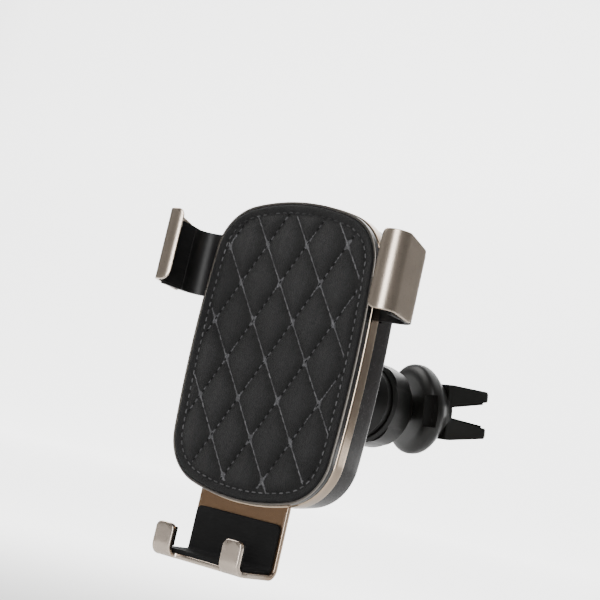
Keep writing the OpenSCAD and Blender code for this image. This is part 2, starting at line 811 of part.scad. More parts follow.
module socket_screws() {
    color([0.6, 0.6, 0.6]) for (a = [45:90:315]) {
        x = flange_screw * cos(a);
        z = ball_z + flange_screw * sin(a);
        rod(x, z, floor_y + 0.1, floor_y + head_h, screw_head_r);
        rod(x, z, floor_y + head_h - e, rear_y + flange_t + 1, screw_r);
    }
}

module collar_nut() {
    start = nut_end - nut_l;
    lobe_r = 6.5;
    mouth = seat_in * sin(lip_angle) + 1.1;
    color([0.09, 0.09, 0.09]) difference() {
        union() {
            turned([[0, start], [nut_out - 0.8, start], [nut_out, start + 0.8],
                    [nut_out, nut_end - 2.8], [nut_out - 0.4, nut_end - 1.5],
                    [nut_out - 1.2, nut_end - 0.5], [nut_out - 2.2, nut_end],
                    [0, nut_end]]);
            for (a = [45:90:315])
                rod((nut_out - lobe_r + 0.6) * cos(a),
                    ball_z + (nut_out - lobe_r + 0.6) * sin(a),
                    start + 1, nut_end - 3.2, lobe_r);
        }
        rod(0, ball_z, start - e, nut_end - nut_cap, nut_in);
        rod(0, ball_z, start, nut_end + e, mouth);
    }
}

module ball_seat() {
    color([0.8, 0.8, 0.78]) translate(ball_c) rotate([0, 0, -pan]) difference() {
        sphere(r = seat_out);
        sphere(r = seat_in);
        rotate([-90, 0, 0]) translate([0, 0, -seat_out * cos(seat_half)])
            cylinder(h = 3 * ball_r, r = 2 * ball_r);
    }
}

// places what follows in the clip's own frame: y runs along the clip's axis
module on_clip() {
    translate(ball_c) rotate([0, 0, -pan]) rotate([tilt, 0, 0]) children();
}

// turns a profile of [radius, distance] about the clip's axis
module clip_turned(points) {
    rotate([-90, 0, 0]) rotate_extrude() polygon(points);
}

module ball_stud() {
    color([0.1, 0.1, 0.1]) on_clip() difference() {
        union() {
            sphere(r = ball_r);
            clip_turned([[0, 0], [neck_r, 0], [neck_r, stud_end], [0, stud_end]]);
        }
        clip_turned([[0, stud_end - 7], [stud_screw_r, stud_end - 7],
                     [stud_screw_r, stud_end + 1], [0, stud_end + 1]]);
    }
}

module stud_screw() {
    color([0.6, 0.6, 0.6]) on_clip() difference() {
        union() {
            clip_turned([[0, stud_end], [stud_head_r, stud_end],
                         [stud_head_r, stud_end + 1.2], [0, stud_end + 1.2]]);
            clip_turned([[0, stud_end - 6.5], [stud_screw_r, stud_end - 6.5],
                         [stud_screw_r, stud_end + e], [0, stud_end + e]]);
        }
        for (a = [0, 90]) rotate([0, a, 0])
            block([-2, stud_end + 0.7, -0.35], [2, stud_end + 2, 0.35]);
    }
}

module clip_head() {
    color([0.08, 0.08, 0.08]) on_clip() difference() {
        union() {
            difference() {
                clip_turned(concat(
                    [[0, head_s]],
                    [for (a = [0:18:90]) [head_r - 3.6 * (1 - sin(a)),
                                          head_s + 2.2 * (1 - cos(a))]],
                    [for (t = [0:0.1:1.001]) [
                        prong_root + (head_r - prong_root) * (1 + cos(180 * t)) / 2,
                        head_s + lobe_l + t * (head_l - lobe_l)]],
                    [[0, root_s]]));
                for (s = [-1, 1]) scale([s, 1, 1])
                    block([head_r - 3.4, head_s - 1, -head_gap / 2],
                          [head_r + 1, head_s + lobe_l - 0.4, head_gap / 2]);
            }
            for (sx = [-1, 1], sz = [-1, 1]) scale([sx, 1, sz]) prong();
        }
        clip_turned([[0, head_s - 1], [clip_bore, head_s - 1], [clip_bore, stud_end - 0.3],
                     [stud_head_r + 0.4, stud_end - 0.3], [stud_head_r + 0.4, tip_s],
                     [0, tip_s]]);
    }
}

// one of four prongs, tapered in both views
module prong() {
    inner = slot_half + grip_t;
    side = 0.9;
    root = root_s - 1.5;
    intersection() {
        extrude_x(side, prong_side) polygon([
            [root, inner], [root_s, inner], [tip_s - 0.6, inner + 2],
            [tip_s, inner + 2.5], [tip_s, prong_tip - 0.7], [tip_s - 0.9, prong_tip],
            [root_s, prong_root], [root, prong_root]]);
        linear_extrude(2 * prong_root) polygon([
            [side, root], [prong_side, root], [prong_side, root_s],
            [prong_side - 1.4, tip_s - 0.8], [prong_side - 2, tip_s],
            [side + 1.2, tip_s], [side, tip_s - 1.6]]);
    }
}

module prong_grips() {
    inner = slot_half + grip_t;
    start = root_s + 0.4;
    rise = 2 / (prong_l - 0.6);
    far = tip_s - 2;
    color([0.05, 0.05, 0.05]) on_clip()
        for (sx = [-1, 1], sz = [-1, 1]) scale([sx, 1, sz]) difference() {
            extrude_x(1.3, prong_side - 1.5) polygon([
                [start, inner + rise * (start - root_s)],
                [start, inner + rise * (start - root_s) - grip_t],
                [far, inner + rise * (far - root_s) - grip_t],
                [far, inner + rise * (far - root_s)]]);
            clip_turned([[0, 0], [stud_head_r + 0.4, 0], [stud_head_r + 0.4, tip_s], [0, tip_s]]);
        }
}

leather_cover();
pad_foam();
trim_ring();
front_tray();
bezel_ring();
rear_housing();
housing_screws();
ball_socket();
socket_screws();
collar_nut();
ball_seat();
ball_stud();
stud_screw();
clip_head();
prong_grips();
pinion_axles();
left_pinion();
right_pinion();
left_arm();
left_clamp_shell();
left_clamp_liner();
right_arm();
right_clamp_shell();
right_clamp_liner();
foot_plate();
foot_carriage();
foot_rivets();
foot_pad();
hook_liners();
left_spring();
right_spring();
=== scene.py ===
"""Car phone holder: surfaces, finishes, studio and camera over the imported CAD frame.

Lengths are in metres in the object's own frame: X to the right, Y back towards the vent, Z up.
Sizes that are easier to read in millimetres are multiplied by MM where they are written.
"""

import json
import logging
import math
from dataclasses import dataclass, field
from enum import Enum
from typing import Any, Callable, Sequence

import bmesh
import bpy
import numpy as np
from mathutils import Matrix, Vector, geometry

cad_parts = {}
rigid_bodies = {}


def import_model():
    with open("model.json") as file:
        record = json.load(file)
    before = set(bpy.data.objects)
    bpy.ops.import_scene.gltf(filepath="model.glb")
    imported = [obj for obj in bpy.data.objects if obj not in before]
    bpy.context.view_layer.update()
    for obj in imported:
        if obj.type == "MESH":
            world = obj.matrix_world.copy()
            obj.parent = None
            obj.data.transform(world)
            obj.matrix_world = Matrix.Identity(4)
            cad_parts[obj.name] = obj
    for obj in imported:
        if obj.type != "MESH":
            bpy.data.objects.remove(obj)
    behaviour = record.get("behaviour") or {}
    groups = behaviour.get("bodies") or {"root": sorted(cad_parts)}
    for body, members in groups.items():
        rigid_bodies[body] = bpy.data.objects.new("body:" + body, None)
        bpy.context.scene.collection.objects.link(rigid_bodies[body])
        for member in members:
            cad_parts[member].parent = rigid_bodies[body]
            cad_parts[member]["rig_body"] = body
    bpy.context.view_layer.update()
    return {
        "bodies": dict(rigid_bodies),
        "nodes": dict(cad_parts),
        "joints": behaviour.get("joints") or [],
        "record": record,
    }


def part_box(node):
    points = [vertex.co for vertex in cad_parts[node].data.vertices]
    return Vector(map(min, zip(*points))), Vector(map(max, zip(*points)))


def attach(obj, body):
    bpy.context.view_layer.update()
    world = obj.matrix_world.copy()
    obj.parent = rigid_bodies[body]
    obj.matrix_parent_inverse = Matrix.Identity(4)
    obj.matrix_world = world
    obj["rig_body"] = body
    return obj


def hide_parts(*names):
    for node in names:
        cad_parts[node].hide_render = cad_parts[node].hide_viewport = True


LOG = logging.getLogger("phone_holder")
MM = 0.001
Array = np.ndarray
Colour = tuple[float, float, float]


# ------------------------------------------------------------------ shader maths


class Signal:
    """One shader output that Python arithmetic turns into Math nodes."""

    def __init__(self, shader: "Shader", socket: bpy.types.NodeSocket) -> None:
        """Keeps the shader that owns the socket, and the socket."""
        self.shader = shader
        self.socket = socket

    def math(self, operation: str, *others: Any) -> "Signal":
        """Returns operation(self, *others) as one Math node."""
        return self.shader.maths(operation, self, *others)

    def __add__(self, other: Any) -> "Signal":
        """Returns self + other."""
        return self.math("ADD", other)

    def __sub__(self, other: Any) -> "Signal":
        """Returns self - other."""
        return self.math("SUBTRACT", other)

    def __rsub__(self, other: Any) -> "Signal":
        """Returns other - self."""
        return self.shader.maths("SUBTRACT", other, self)

    def __mul__(self, other: Any) -> "Signal":
        """Returns self * other."""
        return self.math("MULTIPLY", other)

    __radd__ = __add__
    __rmul__ = __mul__

    def clamped(self) -> "Signal":
        """Returns self kept between 0 and 1."""
        return self.math("MAXIMUM", 0.0).math("MINIMUM", 1.0)

    def between(self, low: float, high: float) -> "Signal":
        """Returns a smooth step from 0 at low to 1 at high."""
        return self.shader.node(
            "ShaderNodeMapRange",
            {"interpolation_type": "SMOOTHSTEP"},
            {"Value": self, "From Min": low, "From Max": high},
        )


class Shader:
    """A material's node tree, with one method that makes every kind of node."""

    def __init__(self, name: str) -> None:
        """Starts an empty node material called name."""
        self.material = bpy.data.materials.new(name)
        self.material.use_nodes = True
        self.tree = self.material.node_tree
        self.tree.nodes.clear()

    def node(
        self,
        kind: str,
        settings: dict[str, Any] | None = None,
        inputs: dict[Any, Any] | None = None,
        output: int | str = 0,
    ) -> Signal:
        """Makes one node.

        Args:
            kind: the node's type.
            settings: attributes, which are set first.
            inputs: values or Signals by socket name or number.
            output: the output socket that is handed back.

        Returns:
            The chosen output as a Signal.
        """
        made = self.tree.nodes.new(kind)
        for key, value in (settings or {}).items():
            setattr(made, key, value)
        for key, value in (inputs or {}).items():
            socket = made.inputs[key]
            if isinstance(value, Signal):
                self.tree.links.new(value.socket, socket)
            elif isinstance(value, tuple) and len(value) == 3 and socket.type == "RGBA":
                socket.default_value = (*value, 1.0)
            else:
                socket.default_value = value
        return Signal(self, made.outputs[output])

    def maths(self, operation: str, *values: Any) -> Signal:
        """Returns a Math node of that operation on the values."""
        return self.node("ShaderNodeMath", {"operation": operation}, dict(enumerate(values)))

    def place(self, scale: Any = 1.0, turn: tuple[float, float, float] = (0, 0, 0)) -> Signal:
        """Returns object coordinates in millimetres, scaled by scale and turned by turn."""
        sizes = scale if isinstance(scale, tuple) else (scale,) * 3
        source = self.node("ShaderNodeTexCoord", output="Object")
        return self.node(
            "ShaderNodeMapping",
            inputs={"Vector": source, "Rotation": turn, "Scale": tuple(1000.0 * s for s in sizes)},
        )

    def noise(self, where: Signal, scale: float, detail: float = 3.0, rough: float = 0.5) -> Signal:
        """Returns fractal noise with features 1/scale millimetres across."""
        return self.node(
            "ShaderNodeTexNoise",
            inputs={"Vector": where, "Scale": scale, "Detail": detail, "Roughness": rough},
        )

    def cells(self, where: Signal, scale: float, feature: str = "F1") -> Signal:
        """Returns the distance in a cell pattern with cells 1/scale millimetres across."""
        return self.node(
            "ShaderNodeTexVoronoi", {"feature": feature}, {"Vector": where, "Scale": scale}
        )

    def layer(self, name: str) -> Signal:
        """Returns a mesh attribute as a number."""
        return self.node("ShaderNodeAttribute", {"attribute_name": name}, output="Fac")

    def mix(self, factor: Any, low: Any, high: Any) -> Signal:
        """Returns the colour between low and high at factor."""
        return self.node(
            "ShaderNodeMix",
            {"data_type": "RGBA"},
            {0: factor, 6: low, 7: high},
            output=2,
        )

    def bump(self, height: Signal, depth: float, strength: float = 1.0) -> Signal:
        """Returns a normal bent by height, whose full swing is depth metres."""
        return self.node(
            "ShaderNodeBump", inputs={"Height": height, "Distance": depth, "Strength": strength}
        )

    def finish(self, inputs: dict[str, Any]) -> bpy.types.Material:
        """Ends the material with a Principled surface of those inputs and returns it."""
        surface = self.node("ShaderNodeBsdfPrincipled", inputs=inputs)
        out = self.tree.nodes.new("ShaderNodeOutputMaterial")
        self.tree.links.new(surface.socket, out.inputs["Surface"])
        return self.material


# ------------------------------------------------------------------ finishes


@dataclass(frozen=True)
class Finish:
    """What every finish has: a name and a main colour."""

    name: str
    colour: Colour

    def tone(self, factor: float) -> Colour:
        """Returns the main colour made brighter or darker by factor."""
        return tuple(min(1.0, c * factor) for c in self.colour)

    def material(self) -> bpy.types.Material:
        """Returns the finish as a material."""
        raise NotImplementedError


@dataclass(frozen=True)
class Leather(Finish):
    """Fine-grained leather with painted shade in its seams and down its cells' sides, and a painted
    highlight on its crowns.
    """

    grain: float = 1.7

    def material(self) -> bpy.types.Material:
        """Returns pebbled leather with creased cells and fine pores, painted shade in the seams and down
        the cells' sides, and a painted highlight on the crowns.
        """
        s = Shader(self.name)
        where = s.place()
        warp = s.node(
            "ShaderNodeVectorMath",
            {"operation": "MULTIPLY_ADD"},
            {0: s.node("ShaderNodeTexNoise", inputs={"Vector": where, "Scale": 1.1}, output=1),
             1: (0.55, 0.55, 0.55), 2: where},
        )
        pebble = s.cells(warp, self.grain, "DISTANCE_TO_EDGE").between(0.0, 0.22)
        fine = s.cells(warp, self.grain * 2.6, "DISTANCE_TO_EDGE").between(0.0, 0.3)
        cloud = s.noise(where, 0.16, 4.0, 0.6)
        pores = s.noise(where, 7.0, 2.0)
        seam = s.layer("seam")
        crown = s.layer("crown")
        height = pebble * 0.55 + fine * 0.3 + pores * 0.15
        base = s.mix(cloud.between(0.3, 0.75), self.tone(0.8), self.tone(1.25))
        base = s.mix(s.noise(where, 1.6, 3.0, 0.7).between(0.35, 0.68), self.tone(0.45), base)
        # painted highlight: on the crowns the pebbles' tops turn brighter
        worn = s.mix(crown * pebble * 0.7, base, self.tone(2.3))
        # painted shade: off the crowns, down the cells' sides, the leather turns darker
        worn = s.mix(crown.between(0.1, 0.95), self.tone(0.42), worn)
        # painted shade in the seam creases, darkest in a dash at each stitch
        colour = s.mix((seam * 0.85).clamped(), worn, self.tone(0.18))
        rough = 0.56 - pebble * 0.1 + pores * 0.12 + seam * 0.15 - crown * 0.05
        return s.finish(
            {
                "Base Color": colour,
                "Roughness": rough.clamped(),
                "Specular IOR Level": 0.25,
                "Sheen Weight": 0.015,
                "Sheen Roughness": 0.5,
                "Normal": s.bump(height, 0.19 * MM, 1.0),
            }
        )


@dataclass(frozen=True)
class Thread(Finish):
    """Waxed sewing thread with a visible twist."""

    def material(self) -> bpy.types.Material:
        """Returns thread whose plies run slantwise across each stitch, with painted shade on stitches the
        mesh marks as shaded and in the twist's grooves.
        """
        s = Shader(self.name)
        where = s.place(turn=(0.3, 0.5, 0.8))
        plies = s.node(
            "ShaderNodeTexWave",
            {"wave_type": "BANDS", "bands_direction": "DIAGONAL"},
            {"Vector": where, "Scale": 1.3, "Distortion": 0.8},
            output="Fac",
        )
        fuzz = s.noise(where, 9.0, 3.0, 0.7)
        dust = s.noise(where, 0.5)
        shade = s.layer("shade")
        light = s.mix(dust.between(0.3, 0.8), self.tone(0.75), self.tone(1.15))
        # painted shade: the mesh's shade number darkens a stitch to near black
        colour = s.mix(shade, light, self.tone(0.02))
        # painted shade in the grooves between the plies
        colour = s.mix((1.0 - plies) * 0.3, colour, self.tone(0.03))
        return s.finish(
            {
                "Base Color": colour,
                "Roughness": (0.62 + fuzz * 0.25).clamped(),
                "Specular IOR Level": 0.15,
                "Sheen Weight": 0.03,
                "Normal": s.bump(plies * 0.7 + fuzz * 0.3, 0.05 * MM, 0.8),
            }
        )


@dataclass(frozen=True)
class Foam(Finish):
    """Open-cell foam."""

    def material(self) -> bpy.types.Material:
        """Returns foam with small open cells and painted shade in their hollows."""
        s = Shader(self.name)
        where = s.place()
        holes = s.cells(where, 1.8).between(0.1, 0.6)
        return s.finish(
            {
                # painted shade in the cells' hollows
                "Base Color": s.mix(holes, self.tone(1.2), self.tone(0.5)),
                "Roughness": 0.95 - holes * 0.1,
                "Normal": s.bump(1.0 - holes, 0.2 * MM),
            }
        )


@dataclass(frozen=True)
class SatinMetal(Finish):
    """Bead-blasted and anodised metal: a tight sparkle with faint handling marks."""

    rough: float = 0.3
    grit: float = 4.5
    shade_and_reflection_tint: Colour | None = None

    def material(self) -> bpy.types.Material:
        """Returns satin metal with grit, soft clouds, hairline marks and bright worn rims.

        Where the tint is given, the colour turns to it from the hooks back to the upright plate, as
        painted shade and a painted brown reflection under the body.
        """
        s = Shader(self.name)
        where = s.place()
        grit = s.noise(where, self.grit, 2.0, 0.65)
        cloud = s.noise(where, 0.09, 3.0)
        marks = s.noise(s.place((0.25, 0.25, 5.0), (0.2, 0.1, 0.35)), 1.0, 2.0).between(0.62, 0.72)
        rim = s.layer("rim")
        base = s.mix(cloud.between(0.35, 0.7), self.tone(0.93), self.tone(1.05))
        base = s.mix(grit.between(0.35, 0.7) * 0.35, base, self.tone(0.72))
        # painted shade and painted reflection: from Y = -4 mm to 3 mm the colour turns to the darker brown
        # tint under the body
        if self.shade_and_reflection_tint:
            deep = s.node("ShaderNodeSeparateXYZ", inputs={"Vector": where}, output=1)
            base = s.mix(deep.between(-4.0, 3.0), base, self.shade_and_reflection_tint)
        colour = s.mix((rim * 0.6).clamped(), base, self.tone(1.45))
        rough = self.rough + (grit - 0.5) * 0.16 + marks * 0.07 - rim * 0.1
        return s.finish(
            {
                "Base Color": colour,
                "Metallic": 1.0,
                "Roughness": rough.clamped(),
                "Normal": s.bump(grit, 0.012 * MM, 0.6),
            }
        )


@dataclass(frozen=True)
class TurnedMetal(Finish):
    """Bare metal with fine machining lines and specks of tarnish."""

    rough: float = 0.28
    along: tuple[float, float, float] = (0.4, 6.0, 0.4)

    def material(self) -> bpy.types.Material:
        """Returns machined metal with lines across the direction named by along."""
        s = Shader(self.name)
        lines = s.noise(s.place(self.along), 1.0, 3.0, 0.6)
        tarnish = s.noise(s.place(), 0.7, 4.0, 0.6).between(0.55, 0.8)
        return s.finish(
            {
                "Base Color": s.mix(tarnish * 0.6, self.tone(1.0), self.tone(0.62)),
                "Metallic": 1.0,
                "Roughness": (self.rough + (lines - 0.5) * 0.2 + tarnish * 0.12).clamped(),
                "Normal": s.bump(lines, 0.006 * MM, 0.6),
            }
        )


@dataclass(frozen=True)
class Moulded(Finish):
    """Moulded plastic, from spark-textured to glossy."""

    rough: float = 0.5
    texture: float = 3.2
    depth: float = 0.014
    coat: float = 0.0
    sheen: float = 0.35

    def material(self) -> bpy.types.Material:
        """Returns plastic with its mould texture, flow clouds, dust and rubbed edges."""
        s = Shader(self.name)
        where = s.place()
        spark = s.noise(where, self.texture, 3.0, 0.6)
        flow = s.noise(where, 0.07, 3.0, 0.6)
        dust = s.noise(where, 1.7, 5.0, 0.75).between(0.6, 0.78)
        rim = s.layer("rim")
        base = s.mix(flow.between(0.3, 0.75), self.tone(0.85), self.tone(1.2))
        base = s.mix(dust * 0.2, base, self.tone(2.2))
        colour = s.mix((rim * 0.35).clamped(), base, self.tone(2.0))
        rough = self.rough + (spark - 0.5) * 0.12 + dust * 0.08 - rim * 0.06
        return s.finish(
            {
                "Base Color": colour,
                "Roughness": rough.clamped(),
                "Coat Weight": self.coat,
                "Coat Roughness": 0.04,
                "Specular IOR Level": self.sheen,
                "Normal": s.bump(spark, self.depth * MM, 0.7),
            }
        )


@dataclass(frozen=True)
class Rubber(Finish):
    """Moulded rubber with fine ribs and a dusty bloom."""

    ribs: float = 1.1

    def material(self) -> bpy.types.Material:
        """Returns matt rubber with shallow ribs and bloom in patches."""
        s = Shader(self.name)
        where = s.place()
        ribs = s.node(
            "ShaderNodeTexWave",
            {"wave_type": "BANDS", "bands_direction": "Z"},
            {"Vector": where, "Scale": self.ribs * 0.314},
            output="Fac",
        )
        grain = s.noise(where, 4.5, 3.0, 0.6)
        bloom = s.noise(where, 0.25, 4.0, 0.65).between(0.45, 0.75)
        return s.finish(
            {
                "Base Color": s.mix(bloom * 0.6, self.tone(0.9), self.tone(2.0)),
                "Roughness": (0.72 + grain * 0.12 + bloom * 0.08).clamped(),
                "Specular IOR Level": 0.16,
                "Normal": s.bump(ribs * 0.6 + grain * 0.4, 0.05 * MM, 0.6),
            }
        )


@dataclass(frozen=True)
class Backdrop(Finish):
    """The studio's pale paper, lit from behind where it is far from the object."""

    glow: float = 3.4
    facing: float = 36.0
    reach: tuple[float, float] = (150.0, 800.0)
    side: tuple[float, float] = (1700.0, 3300.0)

    def material(self) -> bpy.types.Material:
        """Returns matt paper with a barely visible tooth.

        In the object's frame turned by facing, the glow is step(y) * (1 - step(|x|)): it grows
        with the depth behind the object and fades to both sides.
        """
        s = Shader(self.name)
        tooth = s.noise(s.place(), 0.4, 4.0)
        turned_place = s.place(turn=(0.0, 0.0, -math.radians(self.facing)))
        across, deep = (
            s.node("ShaderNodeSeparateXYZ", inputs={"Vector": turned_place}, output=k) for k in (0, 1)
        )
        lit = deep.between(*self.reach) * (1.0 - across.math("ABSOLUTE").between(*self.side))
        return s.finish(
            {
                "Base Color": s.mix(tooth, self.tone(0.985), self.tone(1.0)),
                "Roughness": 0.9,
                "Specular IOR Level": 0.1,
                "Emission Color": s.mix(lit, (0.0, 0.0, 0.0), self.tone(1.05)),
                "Emission Strength": self.glow,
            }
        )


class Look(Enum):
    """The finishes of the holder, by the record's material slot."""

    LEATHER = ("leather", Leather("black_quilted_leather", (0.0058, 0.0058, 0.0061)))
    THREAD = ("leather", Thread("grey_thread", (0.13, 0.13, 0.134)))
    FOAM = ("foam", Foam("grey_foam", (0.08, 0.08, 0.085)))
    TRIM = ("bright_trim", TurnedMetal("cut_trim", (0.2, 0.184, 0.168), 0.3, (0.3, 0.3, 4.0)))
    TRAY = ("gloss_black", Moulded("gloss_black_tray", (0.009, 0.009, 0.009), 0.14, 1.2, 0.004, 0.2))
    CHAMPAGNE = ("champagne", SatinMetal("champagne_metal", (0.5, 0.42, 0.345), 0.3))
    # the foot's brown tint is painted shade and reflection on its upright plate
    FOOT = ("champagne", SatinMetal("champagne_foot", (0.53, 0.45, 0.38), 0.3, 4.5, (0.24, 0.15, 0.09)))
    BAND = ("champagne", SatinMetal("champagne_band", (0.4, 0.315, 0.24), 0.13, 3.0))
    HOUSING = ("housing_black", Moulded("gloss_housing", (0.008, 0.006, 0.006), 0.26, 1.5, 0.006, 0.1))
    ARM = ("arm_black", Moulded("satin_arm", (0.005, 0.005, 0.005), 0.44, 3.0, 0.008, 0.0, 0.25))
    JOINT = ("satin_black", Moulded("satin_joint", (0.0045, 0.0043, 0.0036), 0.4, 3.6, 0.01))
    SCREW = ("screw_steel", TurnedMetal("screw_steel", (0.5, 0.5, 0.51), 0.3, (3.0, 0.4, 3.0)))
    ACETAL = ("acetal", Moulded("natural_acetal", (0.68, 0.67, 0.62), 0.38, 2.2, 0.008))
    DARK_ACETAL = ("acetal", Moulded("dark_acetal", (0.05, 0.05, 0.055), 0.4, 2.2, 0.008))
    AXLE = ("axle_steel", TurnedMetal("ground_axle", (0.62, 0.62, 0.63), 0.2))
    SPRING = ("spring_steel", TurnedMetal("spring_wire", (0.55, 0.55, 0.57), 0.3, (1.5, 1.5, 1.5)))
    RUBBER = ("rubber_black", Rubber("black_rubber", (0.0045, 0.0045, 0.0045)))

    @property
    def slot(self) -> str:
        """The record's slot that this look belongs to."""
        return self.value[0]

    def material(self) -> bpy.types.Material:
        """Returns the look's material, which is made only once."""
        finish = self.value[1]
        return bpy.data.materials.get(finish.name) or finish.material()


# ------------------------------------------------------------------ meshes


def quads(rows: int, columns: int, close_rows: bool, close_columns: bool) -> Array:
    """Returns the faces of a grid, whose vertex number is row * columns + column."""
    i = np.arange(rows if close_rows else rows - 1)
    j = np.arange(columns if close_columns else columns - 1)
    i, j = (a.ravel() for a in np.meshgrid(i, j, indexing="ij"))
    k, m = (i + 1) % rows, (j + 1) % columns
    return np.stack([i * columns + j, k * columns + j, k * columns + m, i * columns + m], 1)


@dataclass
class Surface:
    """Vertices with faces of three or four corners, and numbers that ride on the vertices."""

    points: Array
    faces: list[Array]
    layers: dict[str, Array] = field(default_factory=dict)

    @staticmethod
    def grid(
        points: Array,
        close_rows: bool = False,
        close_columns: bool = False,
        layers: dict[str, Array] | None = None,
    ) -> "Surface":
        """Returns the surface through a rows x columns x 3 array of points."""
        rows, columns = points.shape[:2]
        flat = {k: np.broadcast_to(v, (rows, columns)).ravel() for k, v in (layers or {}).items()}
        return Surface(
            points.reshape(-1, 3), [quads(rows, columns, close_rows, close_columns)], flat
        )

    def __add__(self, other: "Surface") -> "Surface":
        """Returns both surfaces as one; a number that one of them lacks is 0 there."""
        count, more = len(self.points), len(other.points)
        names = {*self.layers, *other.layers}
        layers = {
            n: np.concatenate(
                [self.layers.get(n, np.zeros(count)), other.layers.get(n, np.zeros(more))]
            )
            for n in names
        }
        return Surface(
            np.concatenate([self.points, other.points]),
            self.faces + [f + count for f in other.faces],
            layers,
        )

    def mirrored(self, mirror: bool) -> "Surface":
        """Returns the surface reflected left to right if mirror is true."""
        if not mirror:
            return self
        return Surface(
            self.points * (-1, 1, 1), [f[:, ::-1] for f in self.faces], self.layers
        )

    def mesh(self, name: str, merge: float = 1e-7, sharp: float = 38.0) -> bpy.types.Mesh:
        """Makes a mesh.

        Args:
            name: the mesh's name.
            merge: points closer than this, in metres, become one.
            sharp: edges that turn by more degrees than this stay crisp.

        Returns:
            A closed mesh whose faces point outwards.
        """
        mesh = bpy.data.meshes.new(name)
        mesh.from_pydata(self.points, [], [f for group in self.faces for f in group.tolist()])
        for key, values in self.layers.items():
            layer = mesh.attributes.new(key, "FLOAT", "POINT")
            layer.data.foreach_set("value", np.asarray(values, np.float32))
        return tidy_mesh(mesh, merge, sharp)


def tidy_mesh(mesh: bpy.types.Mesh, merge: float, sharp: float, flatten: bool = False) -> bpy.types.Mesh:
    """Merges doubles, turns faces outwards and shades the mesh smooth between crisp edges.

    Args:
        mesh: the mesh, which is changed.
        merge: points closer than this become one.
        sharp: edges that turn by more degrees than this stay crisp.
        flatten: joins the triangles of flat faces into one face.

    Returns:
        The same mesh.
    """
    work = bmesh.new()
    work.from_mesh(mesh)
    bmesh.ops.remove_doubles(work, verts=work.verts, dist=merge)
    bmesh.ops.dissolve_degenerate(work, edges=work.edges, dist=merge)
    if flatten:
        bmesh.ops.dissolve_limit(
            work, angle_limit=math.radians(0.6), verts=work.verts, edges=work.edges,
            use_dissolve_boundaries=False, delimit={"NORMAL"},
        )
    bmesh.ops.recalc_face_normals(work, faces=work.faces)
    work.to_mesh(mesh)
    work.free()
    mesh.shade_smooth()
    mesh.set_sharp_from_angle(angle=math.radians(sharp))
    return mesh


def place_piece(
    mesh: bpy.types.Mesh,
    look: Look,
    body: str | None = None,
    parent: bpy.types.Object | None = None,
    stands_for: Sequence[str] = (),
) -> bpy.types.Object:
    """Puts a mesh in the scene as a piece of the holder.

    Args:
        mesh: the finished mesh, in the object's frame.
        look: its finish.
        body: the CAD body that it rides on.
        parent: a piece to ride with, in place of a body.
        stands_for: the CAD nodes that it replaces.

    Returns:
        The new object.
    """
    piece = bpy.data.objects.new(mesh.name, mesh)
    bpy.context.scene.collection.objects.link(piece)
    mesh.materials.clear()
    mesh.materials.append(look.material())
    if parent is not None:
        piece.parent = parent
    else:
        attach(piece, body)
    if stands_for:
        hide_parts(*stands_for)
    LOG.info("%s: %d faces, %s", piece.name, len(mesh.polygons), look.name.lower())
    return piece


def round_edges(piece: bpy.types.Object, width: float, segments: int = 2) -> None:
    """Adds a small bevel of that width to a piece's crisp edges."""
    bevel = piece.modifiers.new("worn_edges", "BEVEL")
    bevel.width = width
    bevel.segments = segments
    bevel.limit_method = "ANGLE"
    bevel.angle_limit = math.radians(34)
    bevel.use_clamp_overlap = True
    bevel.harden_normals = True
    bevel.miter_outer = "MITER_ARC"


def soften_node(frame: dict[str, Any], node: str, look: Look, width: float) -> bpy.types.Object:
    """Replaces a CAD node by a merged copy with rounded edges.

    Args:
        node: the CAD node.
        look: its finish.
        width: the bevel on its crisp edges, in metres.

    Returns:
        The new piece.
    """
    source = frame["nodes"][node]
    mesh = source.data.copy()
    mesh.name = f"{node}_finished"
    for layer in [a for a in mesh.attributes if a.domain == "CORNER" and a.name != "sharp"]:
        if layer.name.startswith(("custom_normal", "UVMap")):
            mesh.attributes.remove(layer)
    tidy_mesh(mesh, 2e-6, 30.0, flatten=True)
    piece = place_piece(mesh, look, source["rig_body"], stands_for=[node])
    round_edges(piece, width)
    return piece


# ------------------------------------------------------------------ plane shapes


def rounded(corners: Sequence[tuple[float, float, float]], step: float) -> Array:
    """Returns a closed outline with rounded corners.

    Args:
        corners: (x, y, radius) of each corner of the polygon, in order.
        step: the greatest distance between neighbouring points.

    Returns:
        Points along the straight sides and the arcs, as an n x 2 array.
    """
    out: list[Array] = []
    count = len(corners)
    for k, (x, y, r) in enumerate(corners):
        here = np.array([x, y])
        before = np.array(corners[k - 1][:2]) - here
        after = np.array(corners[(k + 1) % count][:2]) - here
        u, v = before / np.linalg.norm(before), after / np.linalg.norm(after)
        half = math.acos(float(np.clip(u @ v, -1, 1))) / 2
        if r < 1e-6 or half > 1.5707:
            out.append(here[None])
            continue
        reach = min(r / math.tan(half), 0.49 * min(np.linalg.norm(before), np.linalg.norm(after)))
        r = reach * math.tan(half)
        centre = here + (u + v) / np.linalg.norm(u + v) * r / math.sin(half)
        start, end = here + u * reach - centre, here + v * reach - centre
        a = math.atan2(start[1], start[0])
        turn = (math.atan2(end[1], end[0]) - a + math.pi) % (2 * math.pi) - math.pi
        steps = max(3, int(abs(turn) * r / step) + 1, int(abs(turn) / 0.2) + 1)
        angles = a + turn * np.linspace(0, 1, steps + 1)
        out.append(centre + r * np.stack([np.cos(angles), np.sin(angles)], 1))
    loop = np.concatenate(out)
    ends = np.roll(loop, -1, 0)
    cuts = np.maximum(1, np.ceil(np.linalg.norm(ends - loop, axis=1) / step)).astype(int)
    return np.concatenate(
        [p + (q - p) * np.arange(n)[:, None] / n for p, q, n in zip(loop, ends, cuts)]
    )


